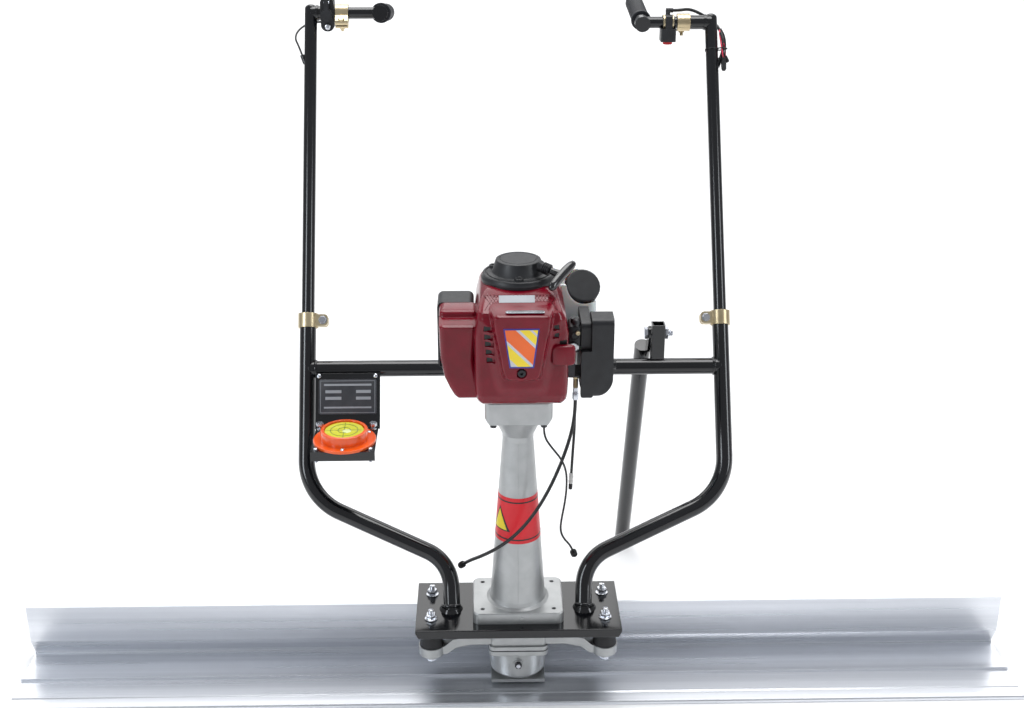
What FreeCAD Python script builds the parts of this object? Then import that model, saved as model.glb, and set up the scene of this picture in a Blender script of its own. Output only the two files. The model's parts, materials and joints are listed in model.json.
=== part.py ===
import FreeCAD
import Part
import math
import os

# Power screed: a straight aluminium blade shaken by an eccentric shaft, driven through a cast
# column by a small four-stroke engine, and steered by two telescopic handle tubes.
# Millimetres. Origin: where the drive axis meets the floor under the blade. +X runs along the
# blade, +Y points to the operator who walks behind it, +Z up.

V = FreeCAD.Vector
X_AXIS = V(1, 0, 0)
Y_AXIS = V(0, 1, 0)
Z_AXIS = V(0, 0, 1)

# ---- driving dimensions -------------------------------------------------------------------------
BLADE_LENGTH = 1500.0
BLADE_FRONT_Y = -78.0        # front edge of the blade's sole
BLADE_RIDGE_Y = -7.0         # low ridge along the sole
BLADE_ROOT_Y = 70.0          # rear edge of the sole, where the upright flange starts
FLANGE_Y = 55.0              # front face of the upright flange
FLANGE_TOP = 93.0
SOLE = 3.5                   # blade wall thickness

PLATE_LENGTH = 300.0         # base plate, along X
PLATE_DEPTH = 134.0
PLATE_TOP = 123.0
PLATE_STEEL = 4.0
PLATE_LIP = 14.0
MOUNT_X = 128.0              # rubber mount positions
MOUNT_Y = 33.5

COLUMN_FLANGE = (133.0, 102.0, 18.0)
COLUMN_BOLT_X = 52.0
COLUMN_BOLT_Y = 37.5
CONE_TOP = 401.0
COLLAR_BOTTOM = 440.0
COLLAR_TOP = 472.0
COLLAR_WIDTH = 94.0

LEAN = math.radians(30.0)    # the frame leans back from upright
FRAME_FOOT_Y = -8.0          # where the frame's plane meets the base plate's top
TUBE_R = 12.4                # lower tubes and crossbar
TUBE_BORE = 9.8
UPPER_R = 9.75               # telescopic upper tubes
FOOT_X = 97.0
CORNER = (100.0, 70.0)       # lower bend: X and distance up the leaning plane
KNEE = (315.0, 168.0)        # upper bend
LOWER_TOP = 446.0
CROSSBAR_S = 361.0
CLAMP_S = 435.0
UPPER_BOTTOM = 310.0
ARM_S = {-1: 925.0, 1: 908.0}        # handle arm axis: the left tube is pulled out further
UPPER_TIP = 13.0             # upper tube's domed tip, above the arm axis
STUB_END = {-1: 256.0, 1: 261.0}     # free end of the stub the arm slides into, as a distance in X
GLAND_DROP = {-1: 69.0, 1: 60.0}     # cable entry in the upper tube, below the arm axis
ARM_R = 9.0
STUB_R = 11.0
GRIP_X = 206.0
GRIP_LENGTH = 118.0
GRIP_R = 14.2
BAR_R = 12.2
GRIP_TILT = {-1: -8.0, 1: 5.5}

LEG_X = 196.0                # prop leg
LEG_HINGE = (186.0, 485.0)   # Y, Z of its hinge bolt
LEG_FOOT_Y = 402.0
LEG_R = 12.5

COVER_SCREW_Z = 545.0        # screw through the red cover's centre panel

SHAFT_R = 8.0
EXCITER_R = 42.0
EXCITER_BOTTOM = 20.5


# ---- helpers ------------------------------------------------------------------------------------
def box(x0, x1, y0, y1, z0, z1):
    """Rectangular block between two corners."""
    return Part.makeBox(x1 - x0, y1 - y0, z1 - z0, V(x0, y0, z0))


def rod(start, end, radius):
    """Round bar from one point to another."""
    a = V(*start)
    b = V(*end)
    return Part.makeCylinder(radius, a.distanceToPoint(b), a, b - a)


def ring(start, end, outer, inner):
    """Tube from one point to another."""
    return rod(start, end, outer).cut(rod(start, end, inner))


def hexagon(centre, direction, across_flats, height):
    """Hexagonal prism, standing on centre and growing along direction."""
    corner = across_flats / math.sqrt(3.0)
    pts = [V(corner * math.cos(math.radians(60 * i)), corner * math.sin(math.radians(60 * i)), 0)
           for i in range(7)]
    prism = Part.Face(Part.makePolygon(pts)).extrude(V(0, 0, height))
    turn = FreeCAD.Rotation(Z_AXIS, V(*direction))
    prism.Placement = FreeCAD.Placement(V(*centre), turn)
    return prism


def soften(shape, radius, axis):
    """Fillet every straight edge that runs along axis."""
    picked = []
    for edge in shape.Edges:
        if edge.Curve.TypeId == "Part::GeomLine":
            direction = edge.tangentAt(edge.FirstParameter)
            if abs(abs(direction.dot(axis)) - 1) < 1e-6:
                picked.append(edge)
    return shape.makeFillet(radius, picked)


def rim(shape, radius, z):
    """Fillet every edge that lies wholly at height z."""
    picked = [e for e in shape.Edges
              if abs(e.BoundBox.ZMin - z) < 1e-4 and abs(e.BoundBox.ZMax - z) < 1e-4]
    return shape.makeFillet(radius, picked)


def prism_xz(points, y0, y1):
    """Outline in the XZ plane, given as (x, z) pairs, extruded along Y."""
    pts = [V(x, y0, z) for x, z in points]
    return Part.Face(Part.makePolygon(pts + [pts[0]])).extrude(V(0, y1 - y0, 0))


def prism_yz(points, x0, x1):
    """Outline in the YZ plane, given as (y, z) pairs, extruded along X."""
    pts = [V(x0, y, z) for y, z in points]
    return Part.Face(Part.makePolygon(pts + [pts[0]])).extrude(V(x1 - x0, 0, 0))


def lean(x, s, off=0.0):
    """Point on the leaning frame plane: s is up the plane, off is behind it."""
    return V(x, FRAME_FOOT_Y + s * math.sin(LEAN) + off * math.cos(LEAN),
             PLATE_TOP + s * math.cos(LEAN) - off * math.sin(LEAN))


def bent_path(points, radii):
    """Wire of straight runs joined by tangent arcs of the given radii."""
    edges = []
    here = points[0]
    for i in range(1, len(points) - 1):
        before = (points[i - 1] - points[i]).normalize()
        after = (points[i + 1] - points[i]).normalize()
        half = (math.pi - before.getAngle(after)) / 2
        back = radii[i - 1] * math.tan(half)
        a = points[i] + before * back
        c = points[i] + after * back
        inward = (before + after).normalize()
        centre = points[i] + inward * (radii[i - 1] / math.cos(half))
        b = centre - inward * radii[i - 1]
        edges.append(Part.LineSegment(here, a).toShape())
        edges.append(Part.Arc(a, b, c).toShape())
        here = c
    edges.append(Part.LineSegment(here, points[-1]).toShape())
    return Part.Wire(edges)


def sweep(path, radius):
    """Round bar along a wire."""
    start = path.Edges[0].valueAt(path.Edges[0].FirstParameter)
    heading = path.Edges[0].tangentAt(path.Edges[0].FirstParameter)
    circle = Part.Wire(Part.makeCircle(radius, start, heading))
    return path.makePipeShell([circle], True, False)


def cord(name, points, diameter):
    """Flexible cable: each arc is as large as its two runs allow."""
    pts = [V(*p) for p in points]
    radii = []
    for i in range(1, len(pts) - 1):
        into = pts[i] - pts[i - 1]
        out = pts[i + 1] - pts[i]
        half = into.getAngle(out) / 2
        radii.append(0.45 * min(into.Length, out.Length) / math.tan(half))
    path = bent_path(pts, radii)
    solid = sweep(path, diameter / 2)
    expected = math.pi * diameter ** 2 / 4 * path.Length
    print(name, "length %.0f" % path.Length, "radii", [round(r) for r in radii],
          "volume ratio %.4f" % (solid.Volume / expected))
    return solid


def export(node, shape):
    """Write one node, as one solid or a group of separate solids."""
    solids = shape.Solids
    clean = solids[0] if len(solids) == 1 else Part.makeCompound(solids)
    if not clean.isValid():
        print("INVALID", node)
    clean.exportStep("parts/" + node + ".step")


# ---- blade and its shoe -------------------------------------------------------------------------
def blade():
    half = BLADE_LENGTH / 2
    back = FLANGE_Y + SOLE
    outer = [(BLADE_FRONT_Y, 0), (BLADE_ROOT_Y + SOLE, 0), (BLADE_ROOT_Y + SOLE, 14),
             (back, 36), (back, FLANGE_TOP), (FLANGE_Y, FLANGE_TOP),
             (FLANGE_Y, 33), (BLADE_ROOT_Y - 2, 8), (BLADE_ROOT_Y - 2, SOLE),
             (BLADE_RIDGE_Y + 4, SOLE), (BLADE_RIDGE_Y + 5, SOLE + 4), (BLADE_RIDGE_Y, SOLE + 4),
             (BLADE_RIDGE_Y, SOLE), (BLADE_FRONT_Y + 32, SOLE), (BLADE_FRONT_Y + 30, SOLE + 1.2),
             (BLADE_FRONT_Y + 27, SOLE + 1.2), (BLADE_FRONT_Y + 25, SOLE),
             (BLADE_FRONT_Y + 4, SOLE), (BLADE_FRONT_Y + 1.5, SOLE + 2), (BLADE_FRONT_Y, SOLE)]
    return prism_yz(outer, -half, half)


def blade_shoe():
    body = prism_yz([(BLADE_RIDGE_Y + 6, SOLE), (BLADE_ROOT_Y - 3, SOLE), (BLADE_ROOT_Y - 3, 7.8),
                     (BLADE_ROOT_Y - 6, 14), (-32, 14), (-32, 9), (BLADE_RIDGE_Y + 6, 9)], -40, 40)
    boss = rod((0, 0, 14), (0, 0, EXCITER_BOTTOM), 26)
    return body.fuse(boss).removeSplitter()


# ---- exciter ------------------------------------------------------------------------------------
def exciter_housing():
    cup = rod((0, 0, EXCITER_BOTTOM), (0, 0, 68), EXCITER_R)
    cup = rim(cup, 6, EXCITER_BOTTOM)
    flange = soften(box(-43.5, 43.5, -49, 49, 67, 82), 9, Z_AXIS)
    body = cup.fuse(flange)
    body = body.fuse(rod((0, -46, 50), (0, -40, 50), 7))
    body = body.cut(rod((0, 0, 28), (0, 0, 41), 18)).cut(rod((0, 0, 41), (0, 0, 83), 30))
    body = body.cut(rod((0, -50, 50), (0, -25, 50), 4))
    return body.removeSplitter()


def exciter_yoke():
    hub = soften(box(-41, 41, -46, 46, 82, 97), 6, Z_AXIS)
    body = hub
    for side in (-1, 1):
        arm = [(side * 38, 83), (side * 38, 97), (side * 72, 97), (side * 96, 92),
               (side * 109, 80), (side * MOUNT_X, 80), (side * MOUNT_X, 67), (side * 106, 67),
               (side * 92, 78), (side * 70, 83)]
        for y in (-MOUNT_Y, MOUNT_Y):
            body = body.fuse(prism_xz(arm, y - 9, y + 9))
            boss = rod((side * MOUNT_X, y, 66), (side * MOUNT_X, y, 80), 19)
            cone = Part.makeCone(9, 19, 8, V(side * MOUNT_X, y, 58), Z_AXIS)
            body = body.fuse(boss).fuse(cone)
            body = body.cut(rod((side * MOUNT_X, y, 57), (side * MOUNT_X, y, 81), 4.2))
    body = body.cut(rod((0, 0, 81), (0, 0, 98), 16.0))
    return body.removeSplitter()


def rubber_mounts():
    mounts = []
    for x in (-MOUNT_X, MOUNT_X):
        for y in (-MOUNT_Y, MOUNT_Y):
            waist = Part.makeCone(17.5, 15.5, 19.5, V(x, y, 80), Z_AXIS)
            upper = Part.makeCone(15.5, 17.5, 19.5, V(x, y, 99.5), Z_AXIS)
            body = waist.fuse(upper)
            body = body.cut(rod((x, y, 80), (x, y, 94), 4.2))
            body = body.cut(rod((x, y, 105), (x, y, 119), 4.2))
            mounts.append(body)
    return Part.makeCompound(mounts)


def ball_bearings():
    rings = [ring((0, 0, z), (0, 0, z + 11), outer, SHAFT_R + 0.05)
             for z, outer in ((146, 16), (404, 16), (84.5, 16), (28, 18))]
    return Part.makeCompound(rings)


def eccentric_shaft():
    shaft = rod((0, 0, 29), (0, 0, 108), SHAFT_R)
    weight = rod((0, 0, 44), (0, 0, 76), 27).cut(box(-30, 30, 3, 30, 43, 77))
    socket = rod((0, 0, 100), (0, 0, 116), 12).cut(rod((0, 0, 107), (0, 0, 117), 9.5))
    return shaft.fuse(weight).fuse(socket).removeSplitter()


# ---- base plate and frame -----------------------------------------------------------------------
def base_plate():
    hx = PLATE_LENGTH / 2
    hy = PLATE_DEPTH / 2
    under = PLATE_TOP - PLATE_STEEL
    low = PLATE_TOP - PLATE_LIP
    plate = box(-hx, hx, -hy, hy, under, PLATE_TOP)
    for y0, y1 in ((-hy, -hy + PLATE_STEEL), (hy - PLATE_STEEL, hy)):
        lip = prism_xz([(-hx, PLATE_TOP), (hx, PLATE_TOP), (hx, under), (hx - 5, low),
                        (-hx + 5, low), (-hx, under)], y0, y1)
        plate = plate.fuse(lip)
    plate = soften(plate.removeSplitter(), 1.5, X_AXIS)
    for x in (-MOUNT_X, MOUNT_X):
        for y in (-MOUNT_Y, MOUNT_Y):
            plate = plate.cut(rod((x, y, under - 1), (x, y, PLATE_TOP + 1), 4.2))
    for x in (-COLUMN_BOLT_X, COLUMN_BOLT_X):
        for y in (-COLUMN_BOLT_Y, COLUMN_BOLT_Y):
            plate = plate.cut(rod((x, y, under - 1), (x, y, PLATE_TOP + 1), 3.3))
    return plate.cut(rod((0, 0, under - 1), (0, 0, PLATE_TOP + 1), 20))


def frame_path(side):
    pts = [lean(side * FOOT_X, -14), lean(side * CORNER[0], CORNER[1]),
           lean(side * KNEE[0], KNEE[1]), lean(side * KNEE[0], LOWER_TOP)]
    return bent_path(pts, [60.0, 85.0])


def frame_tube(side):
    path = frame_path(side)
    tube = sweep(path, TUBE_R).cut(sweep(path, TUBE_BORE))
    tube = tube.cut(box(-400, 400, -120, 60, 60, PLATE_TOP))
    x = side * (FOOT_X + 2.0)
    weld = Part.makeCone(TUBE_R + 5, TUBE_R + 0.5, 5, V(x, FRAME_FOOT_Y + 1, PLATE_TOP), Z_AXIS)
    return tube.fuse(weld.cut(sweep(path, TUBE_R - 1))).removeSplitter()


def crossbar():
    end = KNEE[0] - 2
    a = lean(-end, CROSSBAR_S)
    b = lean(end, CROSSBAR_S)
    bar = Part.makeCylinder(TUBE_R, (b - a).Length, a, b - a)
    bar = bar.cut(Part.makeCylinder(TUBE_R - 2, (b - a).Length, a, b - a))
    for side in (-1, 1):
        bar = bar.cut(sweep(frame_path(side), TUBE_R + 0.01))
    lug_x = LEG_X + 12.8
    lug = soften(box(lug_x - 2, lug_x + 18, 171, 191, 434, 502), 2, Z_AXIS)
    lug = lug.cut(soften(box(lug_x, lug_x + 16, 173, 189, 433, 503), 1, Z_AXIS))
    lug = lug.cut(Part.makeCylinder(TUBE_R - 0.5, 1000, a, b - a))
    lug = lug.cut(rod((lug_x - 5, LEG_HINGE[0], LEG_HINGE[1]),
                      (lug_x + 30, LEG_HINGE[0], LEG_HINGE[1]), 5.1))
    return bar.fuse(lug).removeSplitter()


def in_frame_plane(shape):
    """Move a shape drawn upright at Y=0, Z=0 into the leaning frame plane."""
    turn = FreeCAD.Rotation(X_AXIS, -math.degrees(LEAN))
    shape.Placement = FreeCAD.Placement(lean(0, 0), turn).multiply(shape.Placement)
    return shape


BRACKET_X = (-301.0, -204.0)
BRACKET_S = (268.0, 352.0)
SHELF_Z = 366.0
LEVEL = (-252.5, 66.0)


def level_bracket():
    face = box(BRACKET_X[0], BRACKET_X[1], -TUBE_R - 3, -TUBE_R, BRACKET_S[0], BRACKET_S[1])
    for x in (BRACKET_X[0] + 5, BRACKET_X[1] - 7):
        face = face.cut(rod((x, -30, BRACKET_S[1] - 4), (x, 0, BRACKET_S[1] - 4), 1.9))
    face = in_frame_plane(face)
    shelf = box(-299, -206, 27, 116, SHELF_Z - 3, SHELF_Z)
    lip = box(-299, -206, 27, 30, SHELF_Z - 14, SHELF_Z)
    body = face.fuse(shelf).fuse(lip)
    for x in (-292, -213):
        body = body.cut(rod((x, 36, SHELF_Z - 5), (x, 36, SHELF_Z + 2), 2.6))
        body = body.cut(rod((x, 101, SHELF_Z - 5), (x, 101, SHELF_Z + 2), 2.6))
    return body.removeSplitter()


def name_plate():
    plate = soften(box(-296, -209, -TUBE_R - 4, -TUBE_R - 3, 290, 343), 3, Y_AXIS)
    return in_frame_plane(plate)


def level_housing():
    x, y = LEVEL
    flange = rod((x, y, SHELF_Z), (x, y, SHELF_Z + 4), 46)
    flange = rim(flange, 1.2, SHELF_Z + 4)
    cup = rod((x, y, SHELF_Z), (x, y, SHELF_Z + 19), 34.5)
    cup = rim(cup, 1.5, SHELF_Z + 19)
    body = flange.fuse(cup).cut(rod((x, y, SHELF_Z + 6), (x, y, SHELF_Z + 20), 29.5))
    for angle in (-90, 30, 150):
        sx = x + 40 * math.cos(math.radians(angle))
        sy = y + 40 * math.sin(math.radians(angle))
        body = body.cut(rod((sx, sy, SHELF_Z - 1), (sx, sy, SHELF_Z + 5), 1.6))
    return body


def level_vial():
    x, y = LEVEL
    return rim(rod((x, y, SHELF_Z + 6), (x, y, SHELF_Z + 17), 29.4), 2, SHELF_Z + 17)


# ---- drive column -------------------------------------------------------------------------------
def drive_column():
    fx, fy, fz = COLUMN_FLANGE
    top = PLATE_TOP + fz
    flange = soften(box(-fx / 2, fx / 2, -fy / 2, fy / 2, PLATE_TOP, top), 11, Z_AXIS)
    flange = rim(flange, 2.5, top)
    outline = [V(0, 0, PLATE_TOP), V(46, 0, PLATE_TOP), V(46, 0, top), V(41.5, 0, top + 3),
               V(40, 0, top + 9), V(22, 0, CONE_TOP), V(22.5, 0, CONE_TOP + 8),
               V(37, 0, COLLAR_BOTTOM), V(0, 0, COLLAR_BOTTOM), V(0, 0, PLATE_TOP)]
    cone = Part.Face(Part.makePolygon(outline)).revolve(V(0, 0, 0), Z_AXIS, 360)
    body = flange.fuse(cone)
    body = body.fuse(rod((5, -fy / 2 - 1.5, PLATE_TOP + 9), (5, -fy / 2 + 2, PLATE_TOP + 9), 3))
    body = body.cut(rod((0, 0, PLATE_TOP - 1), (0, 0, COLLAR_BOTTOM + 1), 12))
    body = body.cut(rod((0, 0, 146), (0, 0, 157), 16))
    body = body.cut(rod((0, 0, PLATE_TOP - 1), (0, 0, 146), 15))
    body = body.cut(rod((0, 0, 404), (0, 0, COLLAR_BOTTOM + 1), 16))
    for x in (-COLUMN_BOLT_X, COLUMN_BOLT_X):
        for y in (-COLUMN_BOLT_Y, COLUMN_BOLT_Y):
            body = body.cut(rod((x, y, PLATE_TOP - 1), (x, y, top + 1), 3.1))
    return body.removeSplitter()


def clutch_housing():
    h = COLLAR_WIDTH / 2
    block = prism_xz([(-h + 7, COLLAR_BOTTOM), (h - 7, COLLAR_BOTTOM), (h, COLLAR_BOTTOM + 9),
                      (h, COLLAR_TOP), (-h, COLLAR_TOP), (-h, COLLAR_BOTTOM + 9)], -45, 45)
    block = soften(block, 9, Z_AXIS)
    block = block.cut(rod((0, 0, COLLAR_BOTTOM + 5), (0, 0, COLLAR_TOP + 1), 37))
    block = block.cut(rod((0, 0, COLLAR_BOTTOM - 1), (0, 0, COLLAR_TOP), 14))
    for x in (-35, 35):
        for y in (-36, 36):
            block = block.cut(rod((x, y, COLLAR_BOTTOM - 1), (x, y, COLLAR_TOP + 1), 2.6))
    return block


def drive_shaft():
    shaft = rod((0, 0, 108.5), (0, 0, 452), SHAFT_R)
    return shaft.fuse(rod((0, 0, 108.5), (0, 0, 115.5), 9.3)).removeSplitter()


def clutch_drum():
    drum = rod((0, 0, 446.5), (0, 0, 470), 36).cut(rod((0, 0, 450), (0, 0, 471), 33))
    return drum.cut(rod((0, 0, 446), (0, 0, 451), SHAFT_R))


# ---- engine -------------------------------------------------------------------------------------
def crankcase():
    base = soften(box(-42, 44, -44, 44, COLLAR_TOP, 484), 8, Z_AXIS)
    block = soften(box(-34, 40, -34, 40, 484, 628), 6, Z_AXIS)
    body = base.fuse(block)
    body = body.cut(rod((0, 0, COLLAR_TOP - 1), (0, 0, 484), 33))
    body = body.cut(rod((0, 0, 484), (0, 0, 514), 31))
    body = body.cut(rod((0, 0, 514), (0, 0, 629), 11.05))
    body = body.fuse(box(20, 40, 30, 46, 500, 522))
    return body.cut(rod((0, 0, 540), (0, 0, 585), 30)).removeSplitter()


def cylinder():
    body = rod((2, -34, 562), (2, -88, 562), 22)
    for i in range(7):
        y = -38 - i * 7.5
        body = body.fuse(soften(box(-26, 30, y - 2.5, y, 534, 590), 6, Y_AXIS))
    body = body.cut(rod((2, -33, 562), (2, -80, 562), 17))
    return body.removeSplitter()


def crankshaft():
    shaft = rod((0, 0, 455), (0, 0, 650), 9.0)
    throw = rod((0, 0, 545), (0, 0, 580), 28).cut(box(-30, 30, -30, 30, 555, 570))
    pin = rod((0, -14, 544), (0, -14, 581), 6)
    body = shaft.cut(rod((0, 0, 555), (0, 0, 570), 10)).fuse(throw).fuse(pin)
    body = body.cut(rod((0, 0, 454), (0, 0, 500), 4))
    journal = rod((0, 0, 515), (0, 0, 540), 11.0).fuse(rod((0, 0, 585), (0, 0, 627), 11.0))
    return body.fuse(journal.cut(rod((0, 0, 540), (0, 0, 585), 12))).removeSplitter()


def flywheel():
    disc = rod((0, 0, 486), (0, 0, 491), 29.5).fuse(rod((0, 0, 486), (0, 0, 512), 15))
    for i in range(8):
        vane = box(14, 28.5, -1, 1, 490, 508)
        vane.rotate(V(0, 0, 0), Z_AXIS, 45 * i)
        disc = disc.fuse(vane)
    return disc.cut(rod((0, 0, 485), (0, 0, 513), 9.0)).removeSplitter()


def clutch_shoes():
    hub = ring((0, 0, 456), (0, 0, 468), 31, 9.0)
    return hub.cut(box(-40, 40, -1, 1, 458, 469))


def shroud_middle(wall):
    """Body of the shroud, drawn in by wall: tapered towards its top and sloping to the front."""
    front = prism_xz([(-60 + wall, 486), (64 - wall, 486), (64 - wall, 596), (58 - wall, 626),
                      (43, 640 - wall), (-53 + wall, 640 - wall), (-60 + wall, 606)], -200, 200)
    side = prism_yz([(-92 + wall, 486), (41, 486), (41, 640 - wall), (-50, 639 - wall),
                     (-92 + wall, 624 - wall)], -200, 200)
    return front.common(side)


def shroud_left(wall):
    """Part of the shroud over the muffler, with its lower outer corner drawn in."""
    return prism_xz([(-106 + wall, 611 - wall), (-106 + wall, 552), (-102 + wall, 524),
                     (-86 + wall, 494 + wall), (-40, 494 + wall), (-40, 611 - wall)],
                    -78 + wall, -20)


def engine_shroud():
    body = soften(shroud_left(0), 6, Y_AXIS).fuse(soften(shroud_middle(0), 14, Z_AXIS))
    body = body.cut(shroud_left(3)).cut(shroud_middle(3))
    body = body.cut(box(-104, -40, -21, -19, 497, 608))
    body = body.cut(rod((0, 0, 630), (0, 0, 645), 36))
    body = body.cut(box(-43, 45, -45, 60, 480, 490))
    body = body.cut(box(-28, 33, -100, -80, 536, 616))
    body = body.cut(box(60, 66, -44, -4, 543, 592))
    return body.removeSplitter()


def top_cover():
    outer = prism_xz([(-38, 626), (43, 626), (36, 558), (28, 532), (-23, 532), (-31, 558)],
                     -112, -92.3)
    outer = soften(outer, 5, Y_AXIS)
    inner = prism_xz([(-34, 622), (39, 622), (32, 562), (25, 536), (-20, 536), (-27, 562)],
                     -109, -92)
    tab = soften(box(36, 73, -96, -92.3, 551, 578), 4, Y_AXIS)
    body = outer.cut(inner).fuse(tab)
    body = body.cut(rod((2, -113, COVER_SCREW_Z), (2, -100, COVER_SCREW_Z), 5.2))
    return body.cut(box(-18, 31, -108, -100, 620, 630)).removeSplitter()


def muffler():
    return soften(box(-96, -62.5, -62, 10, 523, 602), 6, Z_AXIS)


def muffler_guard():
    body = soften(box(-110, -60.5, -19.5, 26, 516, 612), 8, Y_AXIS)
    return body.cut(box(-107, -61.8, -21, 23, 519, 609))


GUIDE_ROOT = V(28, -22, 663.4)
GUIDE_END = V(41.9, -31.3, 659.9)
PULL = (GUIDE_END - GUIDE_ROOT).normalize()      # the way the starter rope comes out


def recoil_housing():
    base = rim(rod((0, 0, 640), (0, 0, 649), 50), 3, 649)
    dome = rim(Part.makeCone(35, 29.5, 19, V(0, 0, 648), Z_AXIS), 3, 667)
    body = base.fuse(dome)
    body = body.fuse(Part.makeCylinder(8, GUIDE_ROOT.distanceToPoint(GUIDE_END), GUIDE_ROOT, PULL))
    inner = rod((0, 0, 639), (0, 0, 646), 46).fuse(Part.makeCone(32, 27, 18, V(0, 0, 645.5), Z_AXIS))
    body = body.cut(inner)
    bore = Part.makeCylinder(2.5, 40, GUIDE_END - PULL * 30, PULL)
    return body.cut(bore).removeSplitter()


def starter_grip():
    """T-handle on the end of the starter rope, resting against the rope guide."""
    middle = GUIDE_END + PULL * 19
    across = V(0.42, 0.80, 0.42)
    across = (across - PULL * across.dot(PULL)).normalize()
    low = middle - across * 24
    high = middle + across * 24
    grip = Part.makeCylinder(5, 18.5, GUIDE_END + PULL * 0.5, PULL)
    grip = grip.fuse(Part.makeCylinder(7, 48, low, across))
    grip = grip.fuse(Part.makeSphere(7, low)).fuse(Part.makeSphere(7, high))
    return grip.removeSplitter()


def carburettor():
    body = soften(box(67.5, 82, -41, -8, 547, 584), 4, Y_AXIS)
    body = body.fuse(rod((41, -24, 565), (84, -24, 565), 13))
    body = body.fuse(rod((76, -43, 571), (76, -24, 571), 6))
    x, z = LEVER_PIN
    body = body.cut(rod((x, -42, z), (x, -37.5, z), 2.05))
    return body.cut(rod((39, -24, 565), (85, -24, 565), 8)).removeSplitter()


LEVER_PIN = (73.0, 556.0)    # X, Z of the carburettor lever's spindle
CHOKE_X = 76.0


def carb_lever():
    x, z = LEVER_PIN
    lever = rod((x, -47.5, z), (x, -44.3, z), 6).fuse(box(x, 80.5, -47.5, -44.5, z - 2.5, z + 2.5))
    return lever.fuse(rod((x, -44.6, z), (x, -38, z), 2)).removeSplitter()


def choke_lever():
    hub = rod((CHOKE_X, -24, 584.3), (CHOKE_X, -24, 590), 6)
    arm = rod((CHOKE_X, -24, 587), (CHOKE_X, -50, 593), 3)
    knob = Part.makeSphere(5, V(CHOKE_X, -51, 593.2))
    return hub.fuse(arm).fuse(knob).removeSplitter()


def air_cleaner_case():
    body = soften(box(84, 98, -40, 32, 492, 588), 8, X_AXIS)
    return body.cut(rod((83, -24, 565), (94, -24, 565), 8)).cut(box(91, 99, -35, 27, 500, 580))


def cleaner_outline(wall):
    """Cover of the air cleaner seen along the blade, drawn in by wall."""
    return prism_yz([(-48 + wall, 482 + wall), (26 - wall, 482 + wall), (34 - wall, 500),
                     (34 - wall, 570), (-13, 595 - wall), (-48 + wall, 595 - wall)], 60, 200)


def air_cleaner_cover():
    front = box(98, 128, -100, 100, 482, 595)
    corner = [e for e in front.Edges if abs(e.BoundBox.XMin - 128) < 0.1
              and abs(e.BoundBox.ZMax - 482) < 0.1 and abs(e.BoundBox.ZMin - 482) < 0.1]
    front = front.makeFillet(28.5, corner)
    body = soften(cleaner_outline(0), 8, X_AXIS).common(front)
    inside = prism_xz([(97, 492), (97, 591), (124, 591), (124, 518), (103, 492)], -100, 100)
    body = body.cut(cleaner_outline(4).common(inside))
    apron = soften(box(84, 101, -48, -41, 482, 550), 3, Y_AXIS)
    knob = rod((127, -20, 519), (134, -20, 519), 6)
    return body.fuse(apron.cut(rod((79, -60, 500), (79, 0, 500), 6))).fuse(knob).removeSplitter()


TANK_AXIS = V(0.15, -0.73, 0.67).normalize()
TANK_NECK = V(91.5, 75.0, 597.0)


def fuel_tank():
    body = soften(box(18, 112, 46, 108, 490, 612), 14, Z_AXIS)
    body = body.fuse(soften(box(30, 88, 54, 102, 600, 620), 12, Z_AXIS)).removeSplitter()
    body = body.cut(Part.makeCylinder(29, 120, TANK_NECK - TANK_AXIS * 12, TANK_AXIS))
    body = body.fuse(Part.makeCylinder(18, 40, TANK_NECK - TANK_AXIS * 40, TANK_AXIS))
    bore = Part.makeCylinder(14, 60, TANK_NECK - TANK_AXIS * 28, TANK_AXIS)
    inside = soften(box(22, 108, 50, 104, 494, 575), 12, Z_AXIS)
    return body.cut(bore).cut(inside).removeSplitter()


def fuel_cap():
    base = TANK_NECK - TANK_AXIS * 8
    cap = Part.makeCylinder(25, 20, base, TANK_AXIS)
    cap = cap.makeFillet(2.5, [e for e in cap.Edges if e.Curve.TypeId == "Part::GeomCircle"])
    cap = cap.cut(Part.makeCylinder(18.4, 8.4, base, TANK_AXIS))
    across = TANK_AXIS.cross(Z_AXIS).normalize()
    for i in range(24):
        turn = FreeCAD.Rotation(TANK_AXIS, 15 * i)
        centre = base + turn.multVec(across) * 26.0
        cap = cap.cut(Part.makeCylinder(1.8, 20, centre, TANK_AXIS))
    plug = Part.makeCylinder(13.6, 14, base + TANK_AXIS * -4, TANK_AXIS)
    return cap.fuse(plug).removeSplitter()


def cable_adjuster():
    bracket = box(67, 76, -44, -42, 512, 547).fuse(box(67, 84, -40, -3, 510, 513))
    bracket = bracket.fuse(box(67, 76, -44, -38, 510, 513))
    barrel = rod((79, -20, 480), (79, -20, 512), 3.6)
    nut = hexagon((79, -20, 500), (0, 0, 1), 8, 5)
    ferrule = rod((79, -20, 468), (79, -20, 480), 4.4)
    return bracket.fuse(barrel).fuse(nut).fuse(ferrule).removeSplitter()


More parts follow.
